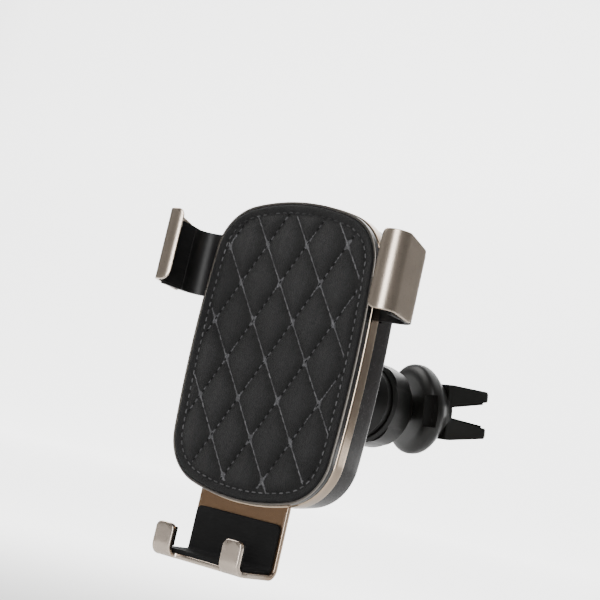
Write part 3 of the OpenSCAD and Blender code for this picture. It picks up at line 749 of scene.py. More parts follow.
def inset_loop(loop: Array, amount: float) -> Array:
    """Returns a counter-clockwise loop moved inwards by amount along its normals."""
    ahead = np.roll(loop, -1, 0) - loop
    ahead /= np.linalg.norm(ahead, axis=1)[:, None]
    behind = np.roll(ahead, 1, 0)
    both = ahead + behind
    both /= np.linalg.norm(both, axis=1)[:, None]
    stretch = 1 / np.maximum(0.5, (ahead * both).sum(1))
    return loop + amount * stretch[:, None] * np.stack([-both[:, 1], both[:, 0]], 1)


def counter_clockwise(loop: Array) -> Array:
    """Returns the loop, turned round if it runs clockwise."""
    x, y = loop[:, 0], loop[:, 1]
    area = (x * np.roll(y, -1) - y * np.roll(x, -1)).sum()
    return loop if area > 0 else loop[::-1]


def inside(points: Array, loops: Sequence[Array]) -> Array:
    """Returns which points lie inside an odd number of the loops."""
    hits = np.zeros(len(points), int)
    for loop in loops:
        a, b = loop, np.roll(loop, -1, 0)
        y = points[:, 1][:, None]
        crosses = (a[:, 1] > y) != (b[:, 1] > y)
        slope = (b[:, 0] - a[:, 0]) / np.where(b[:, 1] == a[:, 1], 1, b[:, 1] - a[:, 1])
        hits += (crosses & (points[:, 0][:, None] < a[:, 0] + (y - a[:, 1]) * slope)).sum(1)
    return hits % 2 == 1


def fill(loops: Sequence[Array], spacing: float) -> tuple[Array, Array]:
    """Fills the space between loops with near-even triangles.

    Args:
        loops: the outer loop and any holes, in millimetres.
        spacing: the distance between the points that are added inside.

    Returns:
        The points, and the triangles as rows of three point numbers.
    """
    edge = np.concatenate(loops)
    low, high = edge.min(0), edge.max(0)
    gx, gy = np.meshgrid(
        np.arange(low[0], high[0], spacing), np.arange(low[1], high[1], spacing * 0.87)
    )
    gx[1::2] += spacing / 2
    free = np.stack([gx.ravel(), gy.ravel()], 1)
    free = free[inside(free, loops)]
    gap = np.array([np.abs(edge - p).max(1).min() for p in free]) if len(free) else np.zeros(0)
    free = free[gap > 0.45 * spacing] if len(free) else free
    points = np.concatenate([edge, free])
    starts = np.cumsum([0] + [len(loop) for loop in loops])
    edges = [
        (int(s + k), int(s + (k + 1) % len(loop)))
        for s, loop in zip(starts, loops)
        for k in range(len(loop))
    ]
    made = geometry.delaunay_2d_cdt([Vector(p) for p in points], edges, [], 0, 1e-7)
    flat = np.array([tuple(v) for v in made[0]])
    triangles = np.array([f for f in made[2]])
    keep = inside(flat[triangles].mean(1), loops)
    return flat, triangles[keep]


@dataclass(frozen=True)
class Fold:
    """The cross-section of a bent sheet: straight runs joined by arcs.

    At distance s from the start the path has run through its legs in order. A straight leg is
    (length, 0) and an arc is (radius, angle), positive to the left.
    """

    start: tuple[float, float]
    heading: float
    legs: tuple[tuple[float, float], ...]

    def at(self, s: Array) -> tuple[Array, Array]:
        """Returns the points at distances s, and the unit normals to the left."""
        place = np.array(self.start, float)
        heading, gone = self.heading, 0.0
        points, angles = np.zeros((len(s), 2)), np.zeros(len(s))
        for number, (size, turn) in enumerate(self.legs):
            length = size if turn == 0 else size * abs(turn)
            last = number == len(self.legs) - 1
            here = (s >= gone - 1e-9) & ((s <= gone + length) | last)
            t = s[here] - gone
            ahead = np.array([math.cos(heading), math.sin(heading)])
            if turn == 0:
                points[here] = place + t[:, None] * ahead
                angles[here] = heading
                place = place + length * ahead
            else:
                sign = math.copysign(1.0, turn)
                left = sign * np.array([-ahead[1], ahead[0]])
                centre = place + size * left
                a = heading + sign * t / size
                points[here] = centre + size * np.stack([sign * np.sin(a), -sign * np.cos(a)], 1)
                angles[here] = a
                heading += turn
                place = centre + size * np.array([sign * math.sin(heading), -sign * math.cos(heading)])
            gone += length
        return points, np.stack([-np.sin(angles), np.cos(angles)], 1)

    @property
    def length(self) -> float:
        """The length of the whole path."""
        return sum(size if turn == 0 else size * abs(turn) for size, turn in self.legs)


def bent_sheet(
    fold: Fold, loop: Array, thick: float, edge: float, axes: str, spacing: float
) -> Surface:
    """Makes a sheet of even thickness that follows a fold, with rounded rims.

    A point of the flat sheet at (s, w) and depth n goes to fold(s) + n * normal(s), w across.

    Args:
        fold: the cross-section of the sheet's outer face, in millimetres.
        loop: the flat sheet's outline in (s, w), in millimetres.
        thick: the sheet's thickness.
        edge: the rounding of its rims.
        axes: "xyz" if the fold lies in X and Y and w is Z; "yzx" if it lies in Y and Z.
        spacing: the size of its triangles.

    Returns:
        The closed surface in metres, with "rim" marking its rounded edges.
    """
    loop = counter_clockwise(loop)
    phi = np.linspace(0, math.pi / 2, 4)
    insets = np.concatenate([edge * (1 - np.sin(phi)), edge * (1 - np.sin(phi[::-1]))])
    depths = np.concatenate([edge * (1 - np.cos(phi)), thick - edge * (1 - np.cos(phi[::-1]))])
    order = [axes.index(c) for c in "xyz"]

    def lift(flat: Array, depth: float) -> Array:
        """Returns flat points at that depth, folded, in metres."""
        place, normal = fold.at(flat[:, 0])
        spot = np.concatenate([place + depth * normal, flat[:, 1:]], 1)
        return spot[:, order] * MM

    rings = np.stack([lift(inset_loop(loop, i), d) for i, d in zip(insets, depths)])
    rim = np.minimum(1, np.minimum(depths, thick - depths) / edge * 1.2)[:, None]
    rim = np.where(rim >= 1, 0.35, 1 - np.abs(rim - 0.5) * 1.2)
    body = Surface.grid(rings, close_columns=True, layers={"rim": rim})
    flat, triangles = fill([inset_loop(loop, edge)], spacing)
    for depth, turn in ((0.0, 1), (thick, -1)):
        body = body + Surface(lift(flat, depth), [triangles[:, ::turn]])
    return body


# ------------------------------------------------------------------ the outline


@dataclass(frozen=True)
class Outline:
    """The pad's outline: bulged sides and arched ends joined by corner arcs, all tangent."""

    half_w: float
    half_h: float
    corner_r: float = 14.2
    arch_r: float = 58.0
    side_r: float = 355.0
    shares: tuple[int, int, int] = (24, 36, 26)

    @staticmethod
    def of_node(node: str) -> "Outline":
        """Returns the outline whose size is that of a CAD node, in millimetres."""
        low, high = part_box(node)
        return Outline((high.x - low.x) / 2 / MM, (high.z - low.z) / 2 / MM)

    def samples(self, fine: int = 1, breaks: Sequence[tuple[str, float]] = ()) -> tuple[Array, Array]:
        """Samples the outline.

        A quarter is an arc about (half_w - side_r, 0), one about the corner's centre, and one
        about (0, half_h - arch_r); the corner's centre is where its distances from the other
        two centres are the differences of the radii.

        Args:
            fine: how many times as many points as usual.
            breaks: ("x" or "z", value) lines where two samples are put close together.

        Returns:
            The points and the outward unit normals, counter-clockwise from the right.
        """
        side = np.array([self.half_w - self.side_r, 0.0])
        arch = np.array([0.0, self.half_h - self.arch_r])
        gap = side - arch
        d = np.linalg.norm(gap)
        r1, r2 = self.arch_r - self.corner_r, self.side_r - self.corner_r
        t = (r1**2 - r2**2 + d**2) / (2 * d)
        u = gap / d
        corner = arch + t * u + math.sqrt(r1**2 - t**2) * np.array([u[1], -u[0]])
        a1 = math.atan2(*(corner - side)[::-1])
        a2 = math.atan2(*(corner - arch)[::-1])
        counts = [fine * share for share in self.shares]
        spans = zip((0, a1, a2), (a1, a2, math.pi / 2), counts)
        angles = np.concatenate([np.linspace(a, b, n, endpoint=False) for a, b, n in spans])
        centres = np.repeat(np.stack([side, corner, arch]), counts, 0)
        radii = np.repeat([self.side_r, self.corner_r, self.arch_r], counts)
        extra: list[float] = []
        for axis, value in breaks:
            spots = centres + radii[:, None] * np.stack([np.cos(angles), np.sin(angles)], 1)
            line = spots[:, 0 if axis == "x" else 1]
            up = line if axis == "z" else line[::-1]
            where = angles if axis == "z" else angles[::-1]
            extra.append(float(np.interp(value, up, where)))
        for angle in extra:
            for shift in (-2e-5, 2e-5):
                spot = int(np.searchsorted(angles, angle + shift))
                angles = np.insert(angles, spot, angle + shift)
                centres = np.insert(centres, spot, centres[max(spot - 1, 0)], 0)
                radii = np.insert(radii, spot, radii[max(spot - 1, 0)])
        n = np.stack([np.cos(angles), np.sin(angles)], 1)
        p = centres + radii[:, None] * n
        top_p, top_n = np.array([[0.0, self.half_h]]), np.array([[0.0, 1.0]])
        p, n = np.concatenate([p, top_p]), np.concatenate([n, top_n])
        p = np.concatenate([p, p[-2::-1] * (-1, 1), p[1:] * (-1, -1), p[-2:0:-1] * (1, -1)])
        n = np.concatenate([n, n[-2::-1] * (-1, 1), n[1:] * (-1, -1), n[-2:0:-1] * (1, -1)])
        return p, n

    def sweep(self, profile: Callable[[Array], Array] | Array, fine: int = 1,
              breaks: Sequence[tuple[str, float]] = (), rim: Array | None = None) -> Surface:
        """Carries a closed profile round the outline.

        Args:
            profile: (inset, depth) points in millimetres, or a function that gives such points
                for every sample of the outline.
            fine: the sampling's fineness.
            breaks: where the profile may change at a step.
            rim: the "rim" number of each profile point.

        Returns:
            The closed ring in metres.
        """
        p, n = self.samples(fine, breaks)
        shape = profile(p) if callable(profile) else np.broadcast_to(profile, (len(p), *profile.shape))
        flat = p[:, None, :] - shape[:, :, :1] * n[:, None, :]
        points = np.stack([flat[..., 0], shape[..., 1], flat[..., 1]], 2) * MM
        return Surface.grid(points, True, True, {"rim": rim[None] if rim is not None else np.zeros(1)})

    def inset_of(self, points: Array) -> Array:
        """Returns how far inside the outline points lie: the least distance to its tangents."""
        p, n = self.samples()
        return ((p * n).sum(1)[None] - points @ n.T).min(1)


def band(
    inset: float, thick: float, front: float, back: float, radii: Sequence[float]
) -> tuple[Array, Array]:
    """Returns a four-cornered profile with rounded corners.

    Args:
        inset: of its outer face.
        thick: from its outer face to its inner face.
        front: depth of its front.
        back: depth of its back.
        radii: of the outer front, outer back, inner back and inner front corners.

    Returns:
        The profile's points, and a "rim" number that is 1 on the outer rounded corners.
    """
    inner = inset + thick
    corners = [
        (inset, front, radii[0]),
        (inset, back, radii[1]),
        (inner, back, radii[2]),
        (inner, front, radii[3]),
    ]
    loop = rounded(corners, 0.6)
    near = [
        np.exp(-((np.hypot(loop[:, 0] - x, loop[:, 1] - y) / (0.25 + 0.5 * r)) ** 2))
        for x, y, r in corners[:2]
    ]
    return loop, np.maximum(*near)


# ------------------------------------------------------------------ the leather pad


@dataclass(frozen=True)
class SeamFamily:
    """Parallel seams of the quilting: x = first + step * k + z / slope."""

    slope: float
    first: float
    step: float
    fill: float
    # shade: how much painted shade its stitches and its creases get, 0 to 1
    shade: float

    def distance(self, x: Array, z: Array) -> Array:
        """Returns the distance of points to the nearest seam of the family."""
        offset = (x - z / self.slope - self.first) / self.step
        return np.abs(offset - np.round(offset)) * self.step * abs(self.slope) / math.hypot(1, self.slope)

    def along(self, x: Array, z: Array) -> Array:
        """Returns how far points lie along the seams' direction."""
        return (x + z * self.slope) / math.hypot(1, self.slope)

    @property
    def direction(self) -> Array:
        """The seams' unit direction in (x, z)."""
        return np.array([1.0, self.slope]) / math.hypot(1, self.slope)


@dataclass
class LeatherPad:
    """The quilted leather cover with its raised cells, rolled border and stitches."""

    frame: dict[str, Any]
    falling: SeamFamily = SeamFamily(-1.44, -3.25, 13.55, 0.88, 0.0)
    rising: SeamFamily = SeamFamily(1.87, 0.4, 12.15, 0.55, 1.0)
    seam_inset: float = 2.45
    puff: float = 1.0
    crease: float = 1.7
    border: float = 0.62
    roll: float = 0.9
    pitch: float = 2.15
    thread_r: float = 0.18
    rings: int = 96
    rim_gap: float = 0.65
    pucker: float = 0.12
    edge_seam: float = 0.32
    cell_seam: float = 0.34
    sunk_seam: float = 0.22
    middle: float = 9.0

    def __post_init__(self) -> None:
        """Reads the cover's outline and its depth from the frame."""
        whole = Outline.of_node("leather_cover")
        self.outline = Outline(
            whole.half_w, whole.half_h, whole.corner_r - self.rim_gap,
            whole.arch_r - self.rim_gap, whole.side_r - self.rim_gap,
        )
        self.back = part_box("leather_cover")[1].y / MM

    def swell(self, distance: Array, width: float) -> Array:
        """Returns 1 - exp(-(distance / width)^1.15): a crease that rises to a flat crown."""
        return 1 - np.exp(-((np.abs(distance) / width) ** 1.15))

    def relief(self, x: Array, z: Array, inset: Array) -> tuple[Array, Array, Array]:
        """Works out the quilted face.

        The depth is puff * (1 - product of the swells over the seam families), with a pucker of
        one stitch's length along each seam and a slow unevenness, and a lower border outside
        the perimeter seam.

        Args:
            x: places across, in millimetres.
            z: places up, in millimetres.
            inset: distances inside the cover's outline.

        Returns:
            The depth behind the front plane, the closeness to a seam and the crown height.
        """
        edge = inset - self.seam_inset
        inner = edge > 0
        lift = self.swell(edge, self.crease * 0.8)
        seam = np.exp(-((edge / self.edge_seam) ** 2))
        for family in (self.falling, self.rising):
            d = family.distance(x, z)
            pull = np.cos(math.pi * family.along(x, z) / self.pitch) ** 2
            lift = np.where(inner, lift * self.swell(d + self.pucker * pull, self.crease), lift)
            # the seam mark, which the leather paints as shade, is wider along the family whose stitches
            # are painted in shade
            width = self.cell_seam + self.sunk_seam * family.shade
            near = np.exp(-((d / width) ** 2)) * (0.4 + 0.6 * pull)
            seam = np.maximum(seam, np.where(inner, near, 0))
        slow = 0.05 * np.sin(0.41 * x + 0.23 * z + 1.0) * np.sin(0.19 * x - 0.37 * z)
        slow += 0.03 * np.sin(1.3 * x + 0.7 * z) * np.sin(0.9 * x - 1.1 * z + 2)
        crown = np.where(inner, lift, lift * self.border)
        depth = self.puff * (1 - crown) - slow * crown + 0.06
        return depth, seam, np.clip(crown * 1.15 - 0.15, 0, 1) * inner

    def cover(self) -> Surface:
        """Returns the closed cover: face rings from the middle out, rolled edge, side and back."""
        p, n = self.outline.samples(2)
        deep = self.middle
        core = p - deep * n
        scales = np.linspace(0, 1, self.rings, endpoint=False) ** 0.8
        inner = core[None] * scales[:, None, None]
        insets = np.arange(deep, self.roll, -0.22)
        outer = p[None] - insets[:, None, None] * n[None]
        phi = np.linspace(math.pi / 2, 0, 7)
        rolled = self.roll * (1 - np.cos(phi))
        edge = p[None] - rolled[:, None, None] * n[None]
        face = np.concatenate([inner, outer, edge])
        inset = np.concatenate(
            [np.full(len(scales), deep), insets, rolled]
        )[:, None] * np.ones(len(p))
        inset[: len(scales)] += (1 - scales[:, None]) * 12
        depth, seam, crown = self.relief(face[..., 0], face[..., 1], inset)
        depth[-len(phi):] += self.roll * (1 - np.sin(phi))[:, None]
        back = np.array([1.0, 1.0, 0.5, 0.0])
        ends = p[None] * back[:, None, None]
        levels = np.array([self.back - 0.15, self.back, self.back, self.back])
        ends[0] = p
        points = np.concatenate(
            [
                np.stack([face[..., 0], depth, face[..., 1]], 2),
                np.stack([ends[..., 0], np.repeat(levels[:, None], len(p), 1), ends[..., 1]], 2),
            ]
        )
        blank = np.zeros((4, len(p)))
        return Surface.grid(
            points * MM,
            close_columns=True,
            layers={"seam": np.concatenate([seam, blank]), "crown": np.concatenate([crown, blank])},
        )

    def stitch_rows(self) -> tuple[Array, Array, Array, Array]:
        """Returns the stitches' middles and directions in (x, z), half lengths and painted shades, 0 for
        the thread's own colour and 1 for near black.
        """
        rng = np.random.default_rng(11)
        middles, ways, halves, shades = [], [], [], []
        for family in (self.falling, self.rising):
            reach = np.arange(-60, 60) * self.pitch
            for k in range(-4, 5):
                foot = np.array([family.first + family.step * k, 0.0])
                spots = foot + (reach[:, None] - foot @ family.direction) * family.direction
                spots = spots[self.outline.inset_of(spots) > self.seam_inset + 0.5]
                middles.append(spots)
                ways.append(np.repeat(family.direction[None], len(spots), 0))
                loose = rng.random(len(spots))
                # painted shade: the stitches of a family with shade 1 are painted near black, but for a
                # few short pale ones close to the thread's own colour
                pale = (loose > 0.86) & (family.shade > 0.5)
                halves.append(np.where(pale, 0.16, family.fill / 2) * self.pitch)
                shade = np.clip(family.shade + 0.5 * loose * (1 - family.shade), 0, 1)
                shades.append(np.where(pale, 0.1, shade))
        p, n = self.outline.samples(4)
        loop = p - self.seam_inset * n
        gone = np.concatenate([[0], np.cumsum(np.linalg.norm(np.diff(loop, axis=0), axis=1))])
        total = gone[-1] + np.linalg.norm(loop[0] - loop[-1])
        at = np.arange(round(total / self.pitch)) * total / round(total / self.pitch)
        spots = np.stack([np.interp(at, gone, loop[:, i]) for i in (0, 1)], 1)
        normal = np.stack([np.interp(at, gone, n[:, i]) for i in (0, 1)], 1)
        middles.append(spots)
        ways.append(np.stack([-normal[:, 1], normal[:, 0]], 1))
        halves.append(np.full(len(spots), 0.34 * self.pitch))
        # painted shade on the perimeter stitches, darker along the top above z = 30 mm, with random spread
        shades.append(np.clip(0.3 + 0.4 * (spots[:, 1] > 30) + 0.4 * (rng.random(len(spots)) - 0.5), 0, 1))
        return tuple(np.concatenate(a) for a in (middles, ways, halves, shades))

    def stitches(self) -> Surface:
        """Returns every stitch as one small tube that dives into the leather at both ends.

        Across a tube the point is middle + half * u * way + r(u) * (cos v across, sin v deep),
        with r(u) = thread_r * (1 - u^6)^0.5, and it sinks by u^4 of its height.
        """
        middle, way, half, shade = self.stitch_rows()
        rng = np.random.default_rng(5)
        tilt = (rng.random(len(middle)) - 0.5) * 0.16
        way = way + tilt[:, None] * np.stack([-way[:, 1], way[:, 0]], 1)
        u = np.linspace(-1, 1, 9)
        v = np.linspace(0, 2 * math.pi, 7)[:-1]
        r = self.thread_r * np.sqrt(np.clip(1 - np.abs(u) ** 6, 0, 1)) + 1e-4
        across = np.stack([-way[:, 1], way[:, 0]], 1)
        flat = (
            middle[:, None, None]
            + half[:, None, None, None] * u[None, :, None, None] * way[:, None, None]
            + (r[:, None] * np.cos(v))[None, ..., None] * across[:, None, None]
        )
        rest = self.puff + 0.02 + 0.3 * u**4 - 0.1
        deep = rest[:, None] + r[:, None] * np.sin(v)
        deep = np.broadcast_to(deep, flat.shape[:3])
        points = np.stack([flat[..., 0], deep, flat[..., 1]], 3) * MM
        count = len(middle)
        face = quads(9, 6, False, True)
        faces = (face[None] + np.arange(count)[:, None, None] * 54).reshape(-1, 4)
        caps = np.stack([np.arange(6)[::-1], 48 + np.arange(6)])
        caps = (caps[None] + np.arange(count)[:, None, None] * 54).reshape(-1, 6)
        layer = np.repeat(shade, 54)
        return Surface(points.reshape(-1, 3), [faces, caps], {"shade": layer})

    def build(self) -> None:
        """Makes the cover and its stitches, and gives the foam its finish."""
        cover = place_piece(
            self.cover().mesh("quilted_cover", sharp=70), Look.LEATHER, "holder",
            stands_for=["leather_cover"],
        )
        place_piece(self.stitches().mesh("cover_stitching", 1e-9, 180), Look.THREAD, parent=cover)
        soften_node(self.frame, "pad_foam", Look.FOAM, 0.2 * MM)


# ------------------------------------------------------------------ the casing


@dataclass
class Casing:
    """Bright trim, gloss tray, metal bezel and rear housing, all on the pad's outline."""

    frame: dict[str, Any]
    rear_round: float = 2.5
    tray_wall: float = 1.5
    housing_wall: float = 1.8
    bezel_wall: float = 1.9
    rear_wall: float = 1.8
    screw_r: float = 1.8
    screw_head: float = 1.7
    seat_depth: float = 1.0
    post_inset: float = 13.0
    groove: float = 0.35
    pocket: float = 0.64
    trim_w: float = 0.62
    foot_play: float = 0.3
    foot_thick: float = 1.4
    arm_play: float = 0.4
    rack_thick: float = 2.1
    flank: float = 20.0

    def __post_init__(self) -> None:
        """Reads the outlines and depths of the shells from the frame."""
        self.base = Outline.of_node("front_tray")
        self.depth = {n: tuple(c.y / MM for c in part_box(n)) for n in
                      ("trim_ring", "front_tray", "bezel_ring", "rear_housing", "leather_cover")}
        self.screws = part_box("housing_screws")
        self.housing_inset = self.base.half_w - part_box("rear_housing")[1].x / MM
        self.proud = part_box("bezel_ring")[1].x / MM - self.base.half_w

    def trim(self) -> Surface:
        """Returns the thin bright ring between leather and tray."""
        front, back = self.depth["trim_ring"]
        profile, rim = band(0.0, self.trim_w, front, back, (0.38, 0.02, 0.02, 0.06))
        return self.base.sweep(profile, 2, rim=rim)

    def tray(self) -> Surface:
        """Returns the gloss tray: a side band with a floor behind the leather."""
        front = self.depth["trim_ring"][1]
        back = self.depth["bezel_ring"][0]
        floor = self.depth["leather_cover"][1]
        shape = [
            (self.pocket, floor, 0), (self.pocket, front, 0.1), (0.0, front, 0.2),
            (0.0, back, 0.25), (self.tray_wall, back, 0),
        ]
        loop = rounded(shape, 0.5)
        start = int(np.argmin(np.hypot(loop[:, 0] - self.pocket, loop[:, 1] - floor)))
        loop = np.roll(loop, -start, 0)
        end = int(np.argmin(np.hypot(loop[:, 0] - self.tray_wall, loop[:, 1] - back)))
        return self.closed(loop[: end + 1], floor, back)

    def closed(self, profile: Array, first: float, last: float) -> Surface:
        """Carries an open profile round the outline and closes its ends to the middle.

        Args:
            profile: (inset, depth) from the front pocket out and round to the back.
            first: depth of the pocket's floor.
            last: depth of the back face.

        Returns:
            The closed shell.
        """
        p, n = self.base.samples(2)
        rings = p[:, None, :] - profile[None, :, :1] * n[:, None, :]
        y = np.broadcast_to(profile[:, 1], rings.shape[:2])
        pole = np.zeros((len(p), 1, 2))
        flat = np.concatenate([pole, rings, pole], 1)
        y = np.concatenate([np.full((len(p), 1), first), y, np.full((len(p), 1), last)], 1)
        return Surface.grid(np.stack([flat[..., 0], y, flat[..., 1]], 2) * MM, close_rows=True)

    def bezel(self) -> Surface:
        """Returns the bezel; behind the foot its back edge steps forward to leave a slot."""
        front, back = self.depth["bezel_ring"]
        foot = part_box("foot_plate")
        half = foot[1].x / MM + self.foot_play
        step = foot[1].y / MM - self.foot_thick - 0.35
        profile, rim = band(-self.proud, self.bezel_wall, front, back, (0.5, 0.35, 0.1, 0.1))
        short = profile.copy()
        share = (profile[:, 1] - front) / (back - front)
        short[:, 1] = front + share * (step - front)

        def shape(p: Array) -> Array:
            """Returns the short profile over the foot and the full one elsewhere."""
            over = (np.abs(p[:, 0]) < half) & (p[:, 1] < 0)
            return np.where(over[:, None, None], short[None], profile[None])

        return self.base.sweep(shape, 2, (("x", half),), rim)

    def housing(self) -> Surface:
        """Returns the rear housing with notches for the arms, sunk screw seats and a groove."""
        front, back = self.depth["bezel_ring"][1], self.depth["rear_housing"][1]
        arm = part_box("right_arm")
        slot = (arm[0].z / MM - self.arm_play, arm[1].z / MM + self.arm_play)
        notch = arm[1].y / MM - self.rack_thick + self.arm_play
        inset, wall, r = self.housing_inset, self.housing_wall, self.rear_round
        phi = np.linspace(0, math.pi / 2, 9)
        side = np.linspace(0, 1, 5)
        outer = [(inset + 0.12 * (1 - t) ** 6, front + t * (back - r * 0.75 - front)) for t in side]
        outer += [
            (inset + r * (1 - math.cos(a)), back - r * 0.75 * (1 - math.sin(a))) for a in phi[1:]
        ]
        ring = inset + r
        face = ring + 0.5
        depth = back - self.rear_wall
        inner = [(face, depth), (inset + wall, depth), (inset + wall, front)]
        sunk = back - self.groove
        groove = [(ring + 0.1, back), (ring + 0.2, sunk), (ring + 0.4, sunk), (face, back)]
        profile = np.array(inner + outer + groove)

        def shape(p: Array) -> Array:
            """Returns the profile, whose front edge lies deeper where an arm comes out."""
            cut = (p[:, 1] > slot[0]) & (p[:, 1] < slot[1]) & (np.abs(p[:, 0]) > self.flank)
            made = np.repeat(profile[None], len(p), 0)
            deep = np.maximum(made[..., 1], notch)
            made[..., 1] = np.where(cut[:, None], deep, made[..., 1])
            return made

        p, n = self.base.samples(2, (("z", slot[0]), ("z", slot[1])))
        made = shape(p)
        flat = p[:, None, :] - made[:, :, :1] * n[:, None, :]
        wall_surface = Surface.grid(
            np.stack([flat[..., 0], made[..., 1], flat[..., 1]], 2) * MM, close_rows=True
        )
        return wall_surface + self.rear_face(p - face * n, back)

    def rear_face(self, loop: Array, back: float) -> Surface:
        """Returns the flat rear wall with its sunk screw seats, and the wall's inner face."""
        low, high = self.screws
        head = self.screw_head
        x, z = self.base.half_w - self.post_inset, high.z / MM - head
        x2, z2 = high.x / MM - head, low.z / MM + head
        spots = [(x, z), (-x, z), (x2, z2), (-x2, z2)]
        ring = np.linspace(0, 2 * math.pi, 32, endpoint=False)
        circle = self.screw_r * np.stack([np.cos(ring), np.sin(ring)], 1)
        holes = [circle + np.array(s) for s in spots]
        flat, faces = fill([loop, *holes], 4.0)

        def spread(q: Array, y: float) -> Array:
            """Returns flat points at depth y, in metres."""
            return np.stack([q[:, 0], np.full(len(q), y), q[:, 1]], 1) * MM

        out = Surface(spread(flat, back), [faces])
        for hole in holes:
            seat = back - self.seat_depth
            walls = np.stack([spread(hole, back), spread(hole, seat)])
            floor = np.concatenate([spread(hole, seat), spread(hole.mean(0)[None], seat)])
            k = np.arange(len(hole))
            out = out + Surface.grid(walls, close_columns=True)
            out = out + Surface(floor, [np.stack([k, (k + 1) % len(hole), k * 0 + len(hole)], 1)])
        depth = back - self.rear_wall
        inner = np.concatenate([spread(loop, depth), spread(loop[:1] * 0, depth)])
        k = np.arange(len(loop))
        return out + Surface(inner, [np.stack([k, (k + 1) % len(loop), k * 0 + len(loop)], 1)])

    def build(self) -> None:
        """Makes the four shells and finishes the screws."""
        for surface, name, look, node in (
            (self.trim(), "bright_trim", Look.TRIM, "trim_ring"),
            (self.tray(), "gloss_tray", Look.TRAY, "front_tray"),
            (self.bezel(), "metal_bezel", Look.BAND, "bezel_ring"),
            (self.housing(), "rear_shell", Look.HOUSING, "rear_housing"),
        ):
            place_piece(surface.mesh(name), look, "holder", stands_for=[node])
        soften_node(self.frame, "housing_screws", Look.SCREW, 0.12 * MM)


# ------------------------------------------------------------------ clamps and foot


class Side(Enum):
    """The two sides of the holder, named as the user sees them."""

    LEFT = "left"
    RIGHT = "right"


@dataclass
class Clamp:
    """One side clamp: its bent metal shell, moulded arm and rubber liner."""

    frame: dict[str, Any]
    side: Side
    thick: float = 1.0
    bend: float = 4.0
    curl: float = 2.9
    curl_turn: float = 44.0
    lip: float = 6.6
    drop: float = 2.2
    sag: float = 1.0
    edge: float = 0.22
    lip_round: float = 2.0
    low_rounds: tuple[float, float] = (3.2, 2.8)
    turn_round: float = 6.0
    back_round: float = 1.0

    def shell(self) -> Surface:
        """Returns the shell: a curled lip, a bend and a side, higher at the lip than behind."""
        low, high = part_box("right_clamp_shell")
        x1, y0, y1 = high.x / MM, low.y / MM, high.y / MM
        top, bottom = high.z / MM, low.z / MM + self.sag
        arc = math.radians(self.curl_turn)
        flat = self.lip - self.bend - self.curl * math.sin(arc)
        fold = Fold(
            (x1 - self.lip, y0 + self.curl * (1 - math.cos(arc))), -arc,
            ((self.curl, arc), (flat, 0), (self.bend, math.pi / 2), (y1 - y0 - self.bend, 0)),
        )
        turn = self.curl * arc + flat + self.bend * math.pi / 2
        low_round = self.low_rounds[self.side is Side.RIGHT]
        loop = rounded(
            [
                (0, bottom, low_round), (turn, bottom, self.turn_round),
                (fold.length, bottom - self.sag, self.back_round),
                (fold.length, top - self.drop, self.back_round),
                (turn, top, self.turn_round), (0, top, self.lip_round),
            ],
            0.45,
        )
        sheet = bent_sheet(fold, loop, self.thick, self.edge, "xyz", 0.8)
        return sheet.mirrored(self.side is Side.LEFT)

    def build(self) -> None:
        """Makes the shell and finishes the arm and the liner."""
        name = self.side.value
        place_piece(
            self.shell().mesh(f"{name}_metal_shell", 2e-6), Look.CHAMPAGNE, f"{name}_clamp",
            stands_for=[f"{name}_clamp_shell"],
        )
        soften_node(self.frame, f"{name}_arm", Look.ARM, 0.25 * MM)
        soften_node(self.frame, f"{name}_clamp_liner", Look.RUBBER, 0.12 * MM)


@dataclass
class Foot:
    """The sliding foot: a sheet bent into an upright, a shelf and two hooks."""

    frame: dict[str, Any]
    thick: float = 1.4
    bend: float = 3.0
    hook_w: float = 5.8
    hook_gap: float = 16.4
    hook_top: float = 49.2
    hook_round: float = 1.65
    side_round: float = 1.2
    notch_round: float = 1.1
    edge: float = 0.28

    def plate(self) -> Surface:
        """Returns the bent sheet, whose front is cut away between the hooks."""
        low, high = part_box("foot_plate")
        y0, y1, z0, z1 = low.y / MM, high.y / MM, low.z / MM, high.z / MM
        half, r = high.x / MM, self.bend
        fold = Fold(
            (y0, -self.hook_top), -math.pi / 2,
            (
                (-self.hook_top - z0 - r, 0), (r, math.pi / 2), (y1 - y0 - 2 * r, 0),
                (r, math.pi / 2), (z1 - z0 - r, 0),
            ),
        )
        shelf = -self.hook_top - z0 - r + r * math.pi / 2
        inner, outer = self.hook_gap / 2, self.hook_gap / 2 + self.hook_w
        right = [
            (0, inner, self.hook_round), (0, outer, self.hook_round),
            (shelf - 0.4, outer, self.side_round), (shelf + 1.2, half, self.side_round),
            (fold.length, half, 1.0),
        ]
        left = [(s, -x, c) for s, x, c in right[::-1]]
        notch = [(shelf, -inner, self.notch_round), (shelf, inner, self.notch_round)]
        loop = rounded(right + left + notch, 0.45)
        return bent_sheet(fold, loop, self.thick, self.edge, "yzx", 1.1)

    def build(self) -> None:
        """Makes the plate and finishes the pieces on it."""
        place_piece(
            self.plate().mesh("hooked_foot", 2e-6), Look.FOOT, "foot", stands_for=["foot_plate"]
        )
        soften_node(self.frame, "foot_pad", Look.RUBBER, 0.2 * MM)
        soften_node(self.frame, "hook_liners", Look.RUBBER, 0.2 * MM)
        soften_node(self.frame, "foot_carriage", Look.DARK_ACETAL, 0.12 * MM)
        soften_node(self.frame, "foot_rivets", Look.SCREW, 0.15 * MM)


